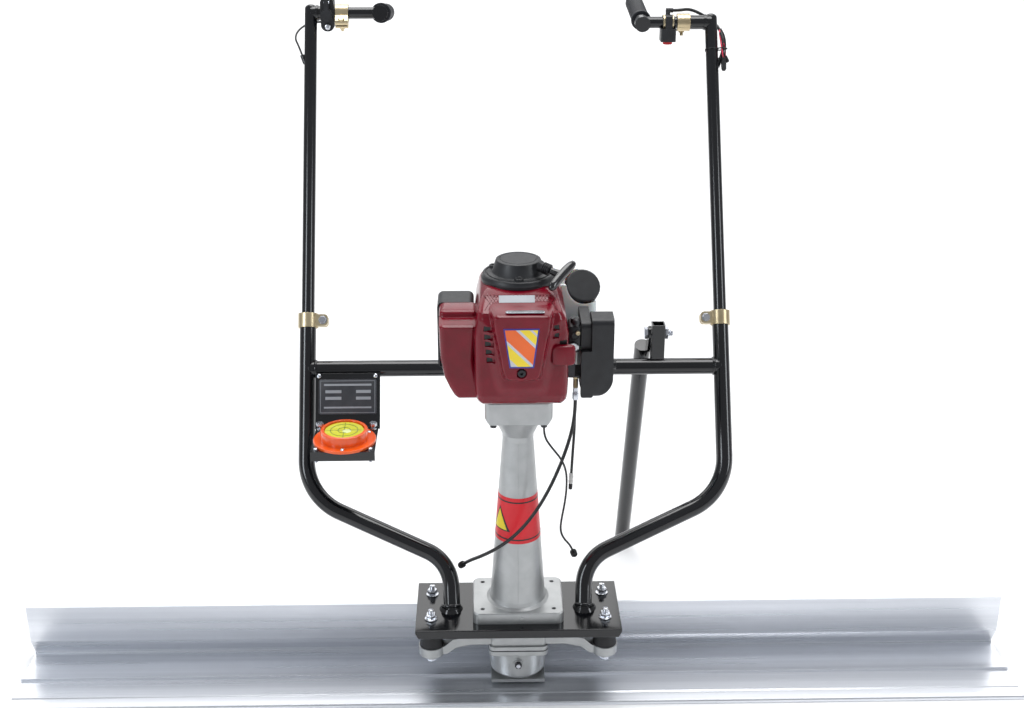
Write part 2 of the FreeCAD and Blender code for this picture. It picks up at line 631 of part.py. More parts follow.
# ---- clamps, handles and controls ---------------------------------------------------------------
def tube_clamp(side):
    """Split band round the top of the lower tube, with two bolted ears on the inner side."""
    x = side * KNEE[0]
    band = Part.makeCylinder(TUBE_R + 2.5, 22, V(x, 0, CLAMP_S - 11), Z_AXIS)
    inner = -side
    ears = box(min(x, x + inner * 31), max(x, x + inner * 31), -8, 8, CLAMP_S - 9, CLAMP_S + 9)
    ears = soften(ears, 6, Y_AXIS)
    slot = box(min(x, x + inner * 33), max(x, x + inner * 33), -1.5, 1.5, CLAMP_S - 12, CLAMP_S + 12)
    body = band.fuse(ears)
    body = body.cut(Part.makeCylinder(TUBE_R, 24, V(x, 0, CLAMP_S - 12), Z_AXIS)).cut(slot)
    bolt_x = x + inner * 23
    body = body.cut(rod((bolt_x, -10, CLAMP_S), (bolt_x, 10, CLAMP_S), 3.1))
    return in_frame_plane(body)


def tube_clamp_bolt(side):
    bolt_x = side * (KNEE[0] - 23)
    shank = rod((bolt_x, -8, CLAMP_S), (bolt_x, 18, CLAMP_S), 3)
    head = hexagon((bolt_x, -8, CLAMP_S), (0, -1, 0), 10, 4.5)
    nut = hexagon((bolt_x, 8, CLAMP_S), (0, 1, 0), 10, 5)
    return in_frame_plane(shank.fuse(head).fuse(nut).removeSplitter())


def upper_tube(side):
    x = side * KNEE[0]
    s = ARM_S[side]
    top = s + UPPER_TIP
    body = rim(Part.makeCylinder(UPPER_R, top - UPPER_BOTTOM, V(x, 0, UPPER_BOTTOM), Z_AXIS), 6.5, top)
    body = body.fuse(rod((x, 0, s), (side * STUB_END[side], 0, s), STUB_R))
    body = body.fuse(rod((x - side * 8, 0, s), (x - side * 12, 0, s), STUB_R + 1.5))
    gland = V(side * -6, 0, -16)
    body = body.fuse(Part.makeCylinder(3.6, 14, V(side * 328, 0, s - GLAND_DROP[side]), gland))
    body = body.cut(Part.makeCylinder(UPPER_R - 2, top - UPPER_BOTTOM - 30,
                                      V(x, 0, UPPER_BOTTOM - 1), Z_AXIS))
    body = body.cut(rod((x - side * 14, 0, s), (side * (STUB_END[side] - 2), 0, s), ARM_R + 0.05))
    return in_frame_plane(body.removeSplitter())


def arm_point(side, x, y, z):
    """Point given by its X and its distance behind and above the handle arm's axis."""
    axis = lean(0, ARM_S[side])
    return V(x, axis.y + y, axis.z + z)


def at_arm(shape, side):
    """Move a shape drawn about the X axis onto the handle arm's axis."""
    shape.translate(lean(0, ARM_S[side]))
    return shape


def handle_clamp(side):
    """Small split band that locks the handle arm inside its stub, and its bolt."""
    near = STUB_END[side]
    a, b = sorted((side * near, side * (near + 20)))
    mid = (a + b) / 2
    body = rod((a, 0, 0), (b, 0, 0), STUB_R + 2.5)
    if side < 0:
        body = body.fuse(soften(box(a, b, -26, 0, -8, 8), 4, X_AXIS))
        slot = box(a - 1, b + 1, -27, 0, -1.6, 1.6)
        turn = -40
    else:
        body = body.fuse(soften(box(a, b, 0, 26, -8, 8), 4, X_AXIS))
        slot = box(a - 1, b + 1, 0, 27, -1.6, 1.6)
        turn = 20
    out = -20 if side < 0 else 20
    body = body.cut(slot).cut(rod((a - 1, 0, 0), (b + 1, 0, 0), STUB_R))
    body = body.cut(rod((mid, out, -12), (mid, out, 12), 2.6))
    bolt = rod((mid, out, -17), (mid, out, 8), 2.5).fuse(hexagon((mid, out, 8), (0, 0, 1), 8, 4))
    bolt = bolt.fuse(hexagon((mid, out, -8), (0, 0, -1), 8, 4)).removeSplitter()
    clamp = Part.makeCompound([body, bolt])
    clamp.rotate(V(0, 0, 0), X_AXIS, -turn)
    return at_arm(clamp, side)


def handle_arm(side):
    arm = rod((side * (KNEE[0] - 20), 0, 0), (side * (GRIP_X + 6), 0, 0), ARM_R)
    bar = rod((side * GRIP_X, -13, 0), (side * GRIP_X, 116, 0), BAR_R)
    arm = arm.fuse(bar).removeSplitter()
    arm.rotate(V(0, 0, 0), X_AXIS, GRIP_TILT[side])
    return at_arm(arm, side)


def grip(side):
    x = side * GRIP_X
    end = 12 + GRIP_LENGTH
    sleeve = ring((x, 12, 0), (x, end, 0), GRIP_R, BAR_R)
    plug = rod((x, end - 14, 0), (x, end, 0), BAR_R)
    collar = ring((x, 12, 0), (x, 18, 0), GRIP_R + 1.6, BAR_R)
    sleeve = sleeve.fuse(plug).fuse(collar).removeSplitter()
    sleeve.rotate(V(0, 0, 0), X_AXIS, GRIP_TILT[side])
    return at_arm(sleeve, side)


THROTTLE_X = -288.5


def throttle_housing():
    x = THROTTLE_X
    band = rod((x - 8, 0, 0), (x + 8, 0, 0), STUB_R + 4)
    lugs = soften(box(x - 10.5, x + 10.5, -13, 12, -26.5, 26.5), 10, Y_AXIS)
    body = band.fuse(lugs)
    body = body.fuse(rod((x, -13, 0), (x, -17, 0), 8.5))
    body = body.cut(rod((x - 20, 0, 0), (x + 20, 0, 0), STUB_R))
    body = body.cut(rod((x, -18, 0), (x, -10, 0), 3.05))
    for z in (-19, 19):
        body = body.fuse(rod((x, -16, z), (x, -13, z), 5))
    return at_arm(body.removeSplitter(), -1)


def throttle_lever():
    x = THROTTLE_X
    hub = rod((x, -17.3, 0), (x, -22, 0), 8.5).fuse(rod((x, -17.4, 0), (x, -11.2, 0), 3))
    stalk = soften(box(x - 3.5, x + 3.5, -22, -18.5, 0, 40), 3, Y_AXIS)
    pad = soften(box(x - 8, x + 8, -27, -18.5, 32, 43), 3, Y_AXIS)
    return at_arm(hub.fuse(stalk).fuse(pad).removeSplitter(), -1)


SWITCH_X = 247.3
SWITCH_LOW = -28.5
GLAND = (8.0, 17.5)          # switch's cable outlet, behind and above the arm axis


def stop_switch():
    x = SWITCH_X
    body = soften(box(x - 11.8, x + 11.8, -15, 12, SWITCH_LOW, -8), 3, Z_AXIS)
    body = body.fuse(soften(box(x - 5.5, x + 5.5, -15, 3, -20, 12), 3, X_AXIS))
    body = body.fuse(ring((x - 9, 0, 0), (x + 9, 0, 0), 11.2, ARM_R))
    body = body.fuse(rod((x, 3, 8), (x, GLAND[0], GLAND[1]), 3.6))
    body = body.fuse(rod((x - 3, GLAND[0], GLAND[1]), (x + 8, GLAND[0], GLAND[1]), 3.6))
    body = body.cut(rod((x - 15, 0, 0), (x + 15, 0, 0), ARM_R))
    body = body.cut(rod((x, -2, SWITCH_LOW - 1), (x, -2, SWITCH_LOW + 14), 7.8))
    return at_arm(body.removeSplitter(), 1)


def stop_button():
    button = rod((SWITCH_X, -2, SWITCH_LOW - 5), (SWITCH_X, -2, SWITCH_LOW + 9), 7.5)
    return at_arm(rim(button, 1, SWITCH_LOW - 5), 1)


def stand_leg():
    y, z = LEG_HINGE
    hinge = V(LEG_X, y, z)
    foot = V(LEG_X, LEG_FOOT_Y, 0)
    down = (foot - hinge).normalize()
    start = hinge + down * 26
    tube = Part.makeCylinder(LEG_R, 640, start, down)
    bore = Part.makeCylinder(LEG_R - 2, 640, start + down * 5, down)
    tube = tube.cut(bore).cut(box(100, 300, 300, 900, -300, 0))
    back = down.cross(X_AXIS).normalize()
    corners = [hinge + back * 11, hinge - back * 11,
               hinge - back * 11 + down * 30, hinge + back * 11 + down * 30]
    shift = V(LEG_R - 6.1, 0, 0)
    pts = [c + shift for c in corners]
    ear = Part.Face(Part.makePolygon(pts + [pts[0]])).extrude(V(4, 0, 0))
    ear = ear.fuse(rod((LEG_X + LEG_R - 6.1, y, z), (LEG_X + LEG_R - 2.1, y, z), 11))
    leg = tube.fuse(ear).cut(rod((LEG_X - 20, y, z), (LEG_X + 30, y, z), 5.05))
    return leg.removeSplitter()


# ---- fasteners ----------------------------------------------------------------------------------
def zinc_fasteners():
    items = []
    for x in (-MOUNT_X, MOUNT_X):
        for y in (-MOUNT_Y, MOUNT_Y):
            stud = rod((x, y, 105.1), (x, y, 139), 4)
            washer = rod((x, y, PLATE_TOP), (x, y, PLATE_TOP + 1.8), 9)
            nut = hexagon((x, y, PLATE_TOP + 1.8), (0, 0, 1), 13, 7)
            items.append(stud.fuse(washer).fuse(nut).removeSplitter())
            tip = rod((x, y, 50), (x, y, 93.9), 4).fuse(hexagon((x, y, 52), (0, 0, 1), 13, 6))
            items.append(tip.removeSplitter())
    for side in (-1, 1):
        items.append(tube_clamp_bolt(side))
    y, z = LEG_HINGE
    bolt = rod((LEG_X + 2.2, y, z), (LEG_X + 44, y, z), 5)
    bolt = bolt.fuse(hexagon((LEG_X + 6.2, y, z), (-1, 0, 0), 16, 6))
    bolt = bolt.fuse(hexagon((LEG_X + 31, y, z), (1, 0, 0), 16, 6))
    items.append(bolt.removeSplitter())
    for x in (-292, -213):
        front = rod((x, 36, SHELF_Z - 20), (x, 36, SHELF_Z), 2.5)
        front = front.fuse(rod((x, 36, SHELF_Z), (x, 36, SHELF_Z + 3), 3.3))
        front = front.fuse(hexagon((x, 36, SHELF_Z - 8), (0, 0, 1), 8, 5))
        items.append(front.removeSplitter())
        rear = rod((x, 101, SHELF_Z - 12), (x, 101, SHELF_Z + 12), 2.5)
        rear = rear.fuse(hexagon((x, 101, SHELF_Z + 7), (0, 0, 1), 10, 6))
        rear = rear.fuse(hexagon((x, 101, SHELF_Z), (0, 0, 1), 8, 4))
        items.append(rear.removeSplitter())
    for x in (BRACKET_X[0] + 5, BRACKET_X[1] - 7):
        rivet = rod((x, -TUBE_R - 5, BRACKET_S[1] - 4), (x, -TUBE_R - 3, BRACKET_S[1] - 4), 3.2)
        rivet = rivet.fuse(rod((x, -TUBE_R - 3, BRACKET_S[1] - 4),
                               (x, -TUBE_R - 0.5, BRACKET_S[1] - 4), 1.8))
        items.append(in_frame_plane(rivet.removeSplitter()))
    for angle in (-90, 30, 150):
        sx = LEVEL[0] + 40 * math.cos(math.radians(angle))
        sy = LEVEL[1] + 40 * math.sin(math.radians(angle))
        screw = rod((sx, sy, SHELF_Z), (sx, sy, SHELF_Z + 4), 1.5)
        items.append(screw.fuse(rod((sx, sy, SHELF_Z + 4), (sx, sy, SHELF_Z + 6), 3)))
    return Part.makeCompound(items)


def socket_screws():
    items = []
    for x in (-COLUMN_BOLT_X, COLUMN_BOLT_X):
        for y in (-COLUMN_BOLT_Y, COLUMN_BOLT_Y):
            screw = rod((x, y, PLATE_TOP - 4), (x, y, PLATE_TOP + 17), 3)
            head = rod((x, y, PLATE_TOP - 10), (x, y, PLATE_TOP - 4), 5)
            items.append(screw.fuse(head).removeSplitter())
    for x in (-35, 35):
        for y in (-36, 36):
            screw = rod((x, y, COLLAR_BOTTOM - 6), (x, y, COLLAR_BOTTOM), 4.5)
            screw = screw.fuse(rod((x, y, COLLAR_BOTTOM), (x, y, COLLAR_TOP - 1), 2.5))
            items.append(screw.cut(hexagon((x, y, COLLAR_BOTTOM - 7), (0, 0, 1), 4, 4)))
    cover = rod((2, -111, COVER_SCREW_Z), (2, -104, COVER_SCREW_Z), 5.0)
    items.append(cover.cut(hexagon((2, -108, COVER_SCREW_Z), (0, -1, 0), 4, 4)))
    plug = rod((0, -46, 50), (0, -30, 50), 3.9).fuse(hexagon((0, -46, 50), (0, -1, 0), 9, 5))
    items.append(plug.removeSplitter())
    return Part.makeCompound(items)


# ---- cables -------------------------------------------------------------------------------------
THROTTLE_ROUTE = [(79, -20, 468), (79, -20, 442), (71, -25, 405), (57, -34, 368), (41, -43, 335),
                  (21, -51, 303), (-4, -56, 274), (-31, -50, 249), (-54, -35, 228),
                  (-71, -12, 208), (-81, 8, 190)]
STOP_ROUTE = [(35, -39, 434), (35, -39, 420), (46, -42, 404), (60, -42, 386), (67, -40, 366),
              (68, -38, 342), (66, -36, 316), (62, -33, 290), (60, -28, 266), (66, -18, 246),
              (77, -6, 228), (82, 6, 210)]
LEAD_ROUTE = [(81, -8, 510), (80.5, -8.5, 478), (79.5, -10, 446), (79, -12, 414),
              (77, -14, 382), (75.5, -17, 352)]
LOOP_ROUTE = [lean(-299, 916, 14), lean(-313, 916, 14), lean(-328, 909, 12), lean(-338, 896, 6),
              lean(-339.5, 883, 1), lean(-334, 872, 0), lean(-328, 856, 0)]
SWITCH_ROUTE = [arm_point(1, SWITCH_X + 8, *GLAND), arm_point(1, SWITCH_X + 18, *GLAND),
                arm_point(1, SWITCH_X + 31, 11, 19), arm_point(1, SWITCH_X + 44, 14, 15.5),
                lean(307, 925, 16), lean(321, 915, 14), lean(331, 898, 8), lean(334, 880, 2),
                lean(334, 864, 0), lean(328, 848, 0)]


def cable_grommets():
    items = []
    for end, before in ((THROTTLE_ROUTE[-1], THROTTLE_ROUTE[-2]), (STOP_ROUTE[-1], STOP_ROUTE[-2])):
        tip = V(*end)
        heading = (tip - V(*before)).normalize()
        items.append(Part.makeCylinder(5, 8, tip, heading))
    return Part.makeCompound(items)


# ---- build --------------------------------------------------------------------------------------
def build():
    os.makedirs("parts", exist_ok=True)
    export("blade", blade())
    export("blade_shoe", blade_shoe())
    export("exciter_housing", exciter_housing())
    export("exciter_yoke", exciter_yoke())
    export("rubber_mounts", rubber_mounts())
    export("ball_bearings", ball_bearings())
    export("eccentric_shaft", eccentric_shaft())
    export("base_plate", base_plate())
    export("frame_tube_left", frame_tube(-1))
    export("frame_tube_right", frame_tube(1))
    export("crossbar", crossbar())
    export("level_bracket", level_bracket())
    export("name_plate", name_plate())
    export("level_housing", level_housing())
    export("level_vial", level_vial())
    export("drive_column", drive_column())
    export("clutch_housing", clutch_housing())
    export("drive_shaft", drive_shaft())
    export("clutch_drum", clutch_drum())
    export("crankcase", crankcase())
    export("cylinder", cylinder())
    export("crankshaft", crankshaft())
    export("flywheel", flywheel())
    export("clutch_shoes", clutch_shoes())
    export("engine_shroud", engine_shroud())
    export("top_cover", top_cover())
    export("muffler", muffler())
    export("muffler_guard", muffler_guard())
    export("recoil_housing", recoil_housing())
    export("starter_grip", starter_grip())
    export("carburettor", carburettor())
    export("carb_lever", carb_lever())
    export("choke_lever", choke_lever())
    export("air_cleaner_case", air_cleaner_case())
    export("air_cleaner_cover", air_cleaner_cover())
    export("fuel_tank", fuel_tank())
    export("fuel_cap", fuel_cap())
    export("cable_adjuster", cable_adjuster())
    export("tube_clamps", Part.makeCompound([tube_clamp(-1), tube_clamp(1)]))
    for side, word in ((-1, "left"), (1, "right")):
        export("upper_tube_" + word, upper_tube(side))
        export("handle_clamp_" + word, handle_clamp(side))
        export("handle_arm_" + word, handle_arm(side))
        export("grip_" + word, grip(side))
    export("throttle_housing", throttle_housing())
    export("throttle_lever", throttle_lever())
    export("stop_switch", stop_switch())
    export("stop_button", stop_button())
    export("stand_leg", stand_leg())
    export("zinc_fasteners", zinc_fasteners())
    export("socket_screws", socket_screws())
    export("throttle_cable", cord("throttle_cable", THROTTLE_ROUTE, 5.0))
    export("stop_wire", cord("stop_wire", STOP_ROUTE, 3.0))
    export("engine_lead", cord("engine_lead", LEAD_ROUTE, 4.0))
    export("handle_cable", cord("handle_cable", LOOP_ROUTE, 3.0))
    export("switch_wires", cord("switch_wires", SWITCH_ROUTE, 5.0))
    export("cable_grommets", cable_grommets())


build()
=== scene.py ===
import json
import math
import random
import bpy
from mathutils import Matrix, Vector


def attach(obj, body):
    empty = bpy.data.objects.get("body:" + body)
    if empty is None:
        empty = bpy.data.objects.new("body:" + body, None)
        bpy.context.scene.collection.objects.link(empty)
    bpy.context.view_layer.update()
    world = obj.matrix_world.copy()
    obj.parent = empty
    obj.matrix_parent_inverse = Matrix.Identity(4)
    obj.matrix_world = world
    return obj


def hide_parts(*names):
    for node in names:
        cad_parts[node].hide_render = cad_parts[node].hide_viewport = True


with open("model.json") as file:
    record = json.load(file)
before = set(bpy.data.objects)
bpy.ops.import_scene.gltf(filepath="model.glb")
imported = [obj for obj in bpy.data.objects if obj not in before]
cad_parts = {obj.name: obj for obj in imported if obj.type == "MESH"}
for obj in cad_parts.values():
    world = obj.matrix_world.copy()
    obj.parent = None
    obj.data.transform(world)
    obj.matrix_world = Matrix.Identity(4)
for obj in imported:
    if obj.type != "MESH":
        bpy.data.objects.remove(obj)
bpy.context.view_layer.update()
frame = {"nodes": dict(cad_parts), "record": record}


class Tone:
    """A shader value that can be calculated with, as an ordinary number can."""

    def __init__(self, finish, socket):
        self.finish = finish
        self.socket = socket

    def math(self, operation, other):
        return self.finish.node("ShaderNodeMath", {"operation": operation}, {0: self, 1: other})

    def __add__(self, other):
        return self.math("ADD", other)

    def __mul__(self, other):
        return self.math("MULTIPLY", other)

    __radd__ = __add__
    __rmul__ = __mul__


class Finish:
    """A material: constants on its shader, and nodes that vary them over the surface."""

    def __init__(self, name, color, roughness, metallic=0.0, **constants):
        self.material = bpy.data.materials.new(name)
        self.material.use_nodes = True
        self.tree = self.material.node_tree
        self.shader = self.tree.nodes["Principled BSDF"]
        self.shader.inputs["Base Color"].default_value = (*color, 1)
        self.shader.inputs["Roughness"].default_value = roughness
        self.shader.inputs["Metallic"].default_value = metallic
        for key, value in constants.items():
            self.shader.inputs[key.replace("_", " ")].default_value = value

    def node(self, kind, settings=None, sockets=None, out=0):
        made = self.tree.nodes.new(kind)
        for key, value in (settings or {}).items():
            if key == "stops":
                ramp = made.color_ramp.elements
                ramp[0].position, ramp[0].color = value[0]
                ramp[1].position, ramp[1].color = value[1]
                for position, color in value[2:]:
                    ramp.new(position).color = color
            else:
                setattr(made, key, value)
        for key, value in (sockets or {}).items():
            value = getattr(value, "socket", value)
            if isinstance(value, bpy.types.NodeSocket):
                self.tree.links.new(value, made.inputs[key])
            else:
                made.inputs[key].default_value = value
        return Tone(self, made.outputs[out])

    def place(self, stretch=(1, 1, 1)):
        spot = self.node("ShaderNodeTexCoord", None, None, "Object")
        return self.node("ShaderNodeMapping", None, {"Vector": spot, "Scale": stretch})

    def noise(self, scale, detail=3.0, stretch=(1, 1, 1)):
        sockets = {"Vector": self.place(stretch), "Scale": scale, "Detail": detail}
        return self.node("ShaderNodeTexNoise", None, sockets)

    def shade(self, factor, dark, light):
        settings = {"stops": [(0.3, (*dark, 1)), (0.7, (*light, 1))]}
        return self.node("ShaderNodeValToRGB", settings, {0: factor})

    def feed(self, name, tone):
        self.tree.links.new(tone.socket, self.shader.inputs[name])

    def relief(self, height, strength, distance, edge=0.0):
        sockets = {"Height": height, "Strength": strength, "Distance": distance}
        if edge:
            sockets["Normal"] = self.node("ShaderNodeBevel", {"samples": 4}, {"Radius": edge})
        self.feed("Normal", self.node("ShaderNodeBump", None, sockets))


camera = bpy.data.objects.new("camera", bpy.data.cameras.new("camera"))
camera.location = (-0.046, -1.7924, 1.2591)
camera.rotation_euler = (math.radians(90 - 22.185), 0, math.radians(-1.2))
camera.data.lens = 49.22
camera.data.sensor_width = 36
bpy.context.scene.collection.objects.link(camera)
bpy.context.scene.camera = camera

FLOOR_FRONT = -20
FLOOR_BACK = 30
FLOOR_TOP = -0.0005
floor_corners = [(x, y, FLOOR_TOP) for x, y in ((-20, FLOOR_FRONT), (20, FLOOR_FRONT),
                                                (20, FLOOR_BACK), (-20, FLOOR_BACK))]
floor_mesh = bpy.data.meshes.new("floor")
floor_mesh.from_pydata(floor_corners, [], [(0, 1, 2, 3)])
floor = bpy.data.objects.new("floor", floor_mesh)
bpy.context.scene.collection.objects.link(floor)
floor_finish = Finish("floor_paper", (0.93, 0.93, 0.93), 0.9)
floor_finish.relief(floor_finish.noise(60.0), 0.03, 0.0004)
floor_mesh.materials.append(floor_finish.material)


def lamp(name, place, target, size, watts, color):
    """Soft rectangular lamp turned towards a target."""
    data = bpy.data.lights.new(name, "AREA")
    data.shape = "RECTANGLE"
    data.size, data.size_y = size
    data.energy = watts
    data.color = color
    made = bpy.data.objects.new(name, data)
    made.location = place
    made.rotation_euler = (Vector(target) - Vector(place)).to_track_quat("-Z", "Y").to_euler()
    bpy.context.scene.collection.objects.link(made)


lamp("overhead", (0.2, 0.6, 3.4), (0, 0.2, 0.3), (2.6, 1.6), 70, (1.0, 1.0, 1.0))
lamp("backdrop", (0, 7.5, 5.0), (0, 7.5, 0), (16, 9), 760, (1.0, 1.0, 1.0))
lamp("left_front", (-2.6, -1.8, 1.9), (0, 0, 0.5), (0.8, 2.0), 40, (0.88, 0.94, 1.0))
lamp("right_front", (2.8, -1.2, 1.6), (0, 0, 0.5), (0.7, 2.0), 26, (0.92, 0.96, 1.0))
world = bpy.data.worlds.new("studio")
world.use_nodes = True
world.node_tree.nodes["Background"].inputs["Color"].default_value = (0.93, 0.95, 1.0, 1)
world.node_tree.nodes["Background"].inputs["Strength"].default_value = 0.36
bpy.context.scene.world = world
bpy.context.scene.view_settings.view_transform = "Standard"

# Materials of the designed parts. Each slot of the part gets its own finish: extruded and cast
# aluminium, gloss paint on steel, moulded plastics, rubber, plated steel and PVC.


def worn(name, dark, light, rough, metallic=0.0, grain=900.0, relief=0.06, edge=0.0,
         stretch=(1, 1, 1), **constants):
    """Finish whose colour drifts from dark to light, roughness over the given pair."""
    made = Finish(name, light, rough[0], metallic, **constants)
    made.feed("Base Color", made.shade(made.noise(grain / 30, 4.0, stretch), dark, light))
    made.feed("Roughness", made.noise(grain / 12, 3.0, stretch) * (rough[1] - rough[0]) + rough[0])
    made.relief(made.noise(grain, 2.0, stretch), relief, 0.0004, edge)
    return made.material


FINISHES = {
    "blade": worn("extruded_aluminium", (0.66, 0.68, 0.72), (0.86, 0.88, 0.92), (0.22, 0.36), 0.85,
                  260.0, 0.05, 0.0006, (0.05, 6, 6)),
    "cast_aluminium": worn("cast_aluminium", (0.40, 0.41, 0.41), (0.47, 0.48, 0.48), (0.34, 0.42),
                           0.7, 1400.0, 0.07, 0.0012),
    "black_paint": worn("gloss_paint", (0.003, 0.0032, 0.004), (0.006, 0.0065, 0.008),
                        (0.10, 0.18), 0.0, 300.0, 0.04, 0.0008, Coat_Weight=0.25, Coat_Roughness=0.05),
    "rubber": worn("rubber", (0.006, 0.006, 0.007), (0.012, 0.012, 0.013), (0.5, 0.65), 0.0,
                   1200.0, 0.15, 0.001),
    "grip_rubber": worn("grip_rubber", (0.008, 0.009, 0.012), (0.018, 0.019, 0.024), (0.45, 0.6), 0.0,
                        1500.0, 0.2, 0.0006),
    "machined_steel": worn("machined_steel", (0.45, 0.46, 0.48), (0.6, 0.61, 0.63), (0.22, 0.34),
                           1.0, 700.0, 0.05, 0.0004),
    "flywheel_aluminium": worn("flywheel_aluminium", (0.5, 0.5, 0.52), (0.62, 0.62, 0.64),
                               (0.4, 0.5), 0.9, 1200.0, 0.1, 0.0005),
    "name_plate": worn("anodised_plate", (0.05, 0.052, 0.06), (0.09, 0.092, 0.1), (0.3, 0.4), 0.5,
                       900.0, 0.04, 0.0004),
    "level_orange": worn("level_orange", (0.80, 0.085, 0.006), (0.90, 0.12, 0.01), (0.18, 0.26), 0.0,
                         400.0, 0.03, 0.0008, Coat_Weight=0.4),
    "level_vial": worn("level_fluid", (0.62, 0.62, 0.03), (0.75, 0.74, 0.05), (0.06, 0.12), 0.0,
                       300.0, 0.02, 0.0008, Coat_Weight=1.0),
    "red_shroud": worn("red_shroud", (0.14, 0.0006, 0.008), (0.19, 0.0008, 0.012), (0.16, 0.24),
                       0.0, 1300.0, 0.02, 0.0015, Coat_Weight=0.22, Coat_Roughness=0.05,
                       Specular_IOR_Level=0.3),
    "muffler_steel": worn("muffler_steel", (0.16, 0.14, 0.12), (0.33, 0.31, 0.29), (0.4, 0.6), 0.9,
                          600.0, 0.1, 0.001),
    "black_plastic": worn("black_plastic", (0.008, 0.0085, 0.010), (0.015, 0.016, 0.019),
                          (0.36, 0.5), 0.0, 1800.0, 0.16, 0.001),
    "tank_white": worn("tank_plastic", (0.72, 0.73, 0.72), (0.84, 0.85, 0.84), (0.32, 0.42), 0.0,
                       500.0, 0.04, 0.002, Subsurface_Weight=0.15),
    "red_button": worn("red_button", (0.42, 0.008, 0.01), (0.55, 0.012, 0.016), (0.22, 0.3), 0.0,
                       700.0, 0.04, 0.0004),
    "yellow_zinc": worn("yellow_zinc", (0.50, 0.40, 0.24), (0.68, 0.58, 0.38), (0.26, 0.4), 0.95,
                        500.0, 0.06, 0.0006),
    "zinc": worn("bright_zinc", (0.55, 0.57, 0.62), (0.72, 0.74, 0.78), (0.2, 0.3), 1.0, 700.0,
                 0.05, 0.0004),
    "black_oxide": worn("black_oxide", (0.02, 0.02, 0.022), (0.045, 0.045, 0.05), (0.3, 0.42), 0.6,
                        800.0, 0.06, 0.0004),
    "cable_sheath": worn("cable_sheath", (0.005, 0.005, 0.006), (0.010, 0.010, 0.011),
                         (0.3, 0.42), 0.0, 900.0, 0.06),
}
for part in frame["record"]["subparts"]:
    slots = frame["nodes"][part["node"]].data.materials
    slots.clear()
    slots.append(FINISHES[part["material_slot"]])


# Cables: PVC-sheathed throttle cable and stop wire from the engine to the frame tubes, a short
# lead with its plug, and the loops from the handle controls into the upper tubes.


def piece(name, verts, faces, material, body, smooth=True, slot=None):
    """Mesh piece from points in millimetres, riding on a body."""
    mesh = bpy.data.meshes.new(name)
    mesh.from_pydata([Vector(v) * 0.001 for v in verts], [], faces)
    mesh.validate()
    mesh.materials.append(material)
    made = bpy.data.objects.new(name, mesh)
    bpy.context.scene.collection.objects.link(made)
    mesh.update()
    if smooth:
        for face in mesh.polygons:
            face.use_smooth = True
        mesh.set_sharp_from_angle(angle=math.radians(38))
    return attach(made, body)


def loft(rings, closed=True):
    """Skin over rings that have the same number of points, with flat ends if closed."""
    count = len(rings[0])
    verts = [Vector(p) for ring in rings for p in ring]
    faces = []
    for r in range(len(rings) - 1):
        for i in range(count):
            j = (i + 1) % count
            faces.append((r * count + i, r * count + j, (r + 1) * count + j, (r + 1) * count + i))
    if closed:
        faces.append(tuple(reversed(range(count))))
        faces.append(tuple((len(rings) - 1) * count + i for i in range(count)))
    return verts, faces


def aim(direction):
    """Rotation that takes Z to a direction."""
    return Vector(direction).to_track_quat("Z", "Y").to_matrix()


def turned(start, direction, profile, sides=36, wobble=0.0, closed=True):
    """Round body about a line: profile is (distance along, radius) pairs."""
    turn = aim(direction)
    rings = []
    for along, radius in profile:
        ring = []
        for i in range(sides):
            angle = 2 * math.pi * i / sides
            r = radius + (random.uniform(-wobble, wobble) if wobble else 0)
            ring.append(Vector(start) + turn @ Vector((r * math.cos(angle), r * math.sin(angle), along)))
        rings.append(ring)
    return loft(rings, closed)


FRAME_TILT = math.radians(30)
FRAME_FOOT_Y = -8
FRAME_FOOT_Z = 123
TUBE_TOP = {"left": 925, "right": 908}


def lean(x, s, off=0.0):
    """Point on the leaning plane of the frame tubes: s up the plane, off behind it."""
    return Vector((x, FRAME_FOOT_Y + s * math.sin(FRAME_TILT) + off * math.cos(FRAME_TILT),
                   FRAME_FOOT_Z + s * math.cos(FRAME_TILT) - off * math.sin(FRAME_TILT)))


def cable(name, node, points, diameter):
    """Round cord along points in metres, in place of the plain cord of the same route."""
    data = bpy.data.curves.new(name, "CURVE")
    data.dimensions = "3D"
    line = data.splines.new("NURBS")
    line.points.add(len(points) - 1)
    for spot, point in zip(line.points, points):
        spot.co = (point[0], point[1], point[2], 1)
    line.order_u = 3
    line.use_endpoint_u = True
    line.resolution_u = 10
    data.bevel_depth = diameter / 2
    data.bevel_resolution = 5
    data.use_fill_caps = True
    data.materials.append(FINISHES["cable_sheath"])
    made = bpy.data.objects.new(name, data)
    bpy.context.scene.collection.objects.link(made)
    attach(made, "machine")
    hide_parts(node)


def metres(points):
    """The same points, from millimetres."""
    return [tuple(0.001 * c for c in p) for p in points]


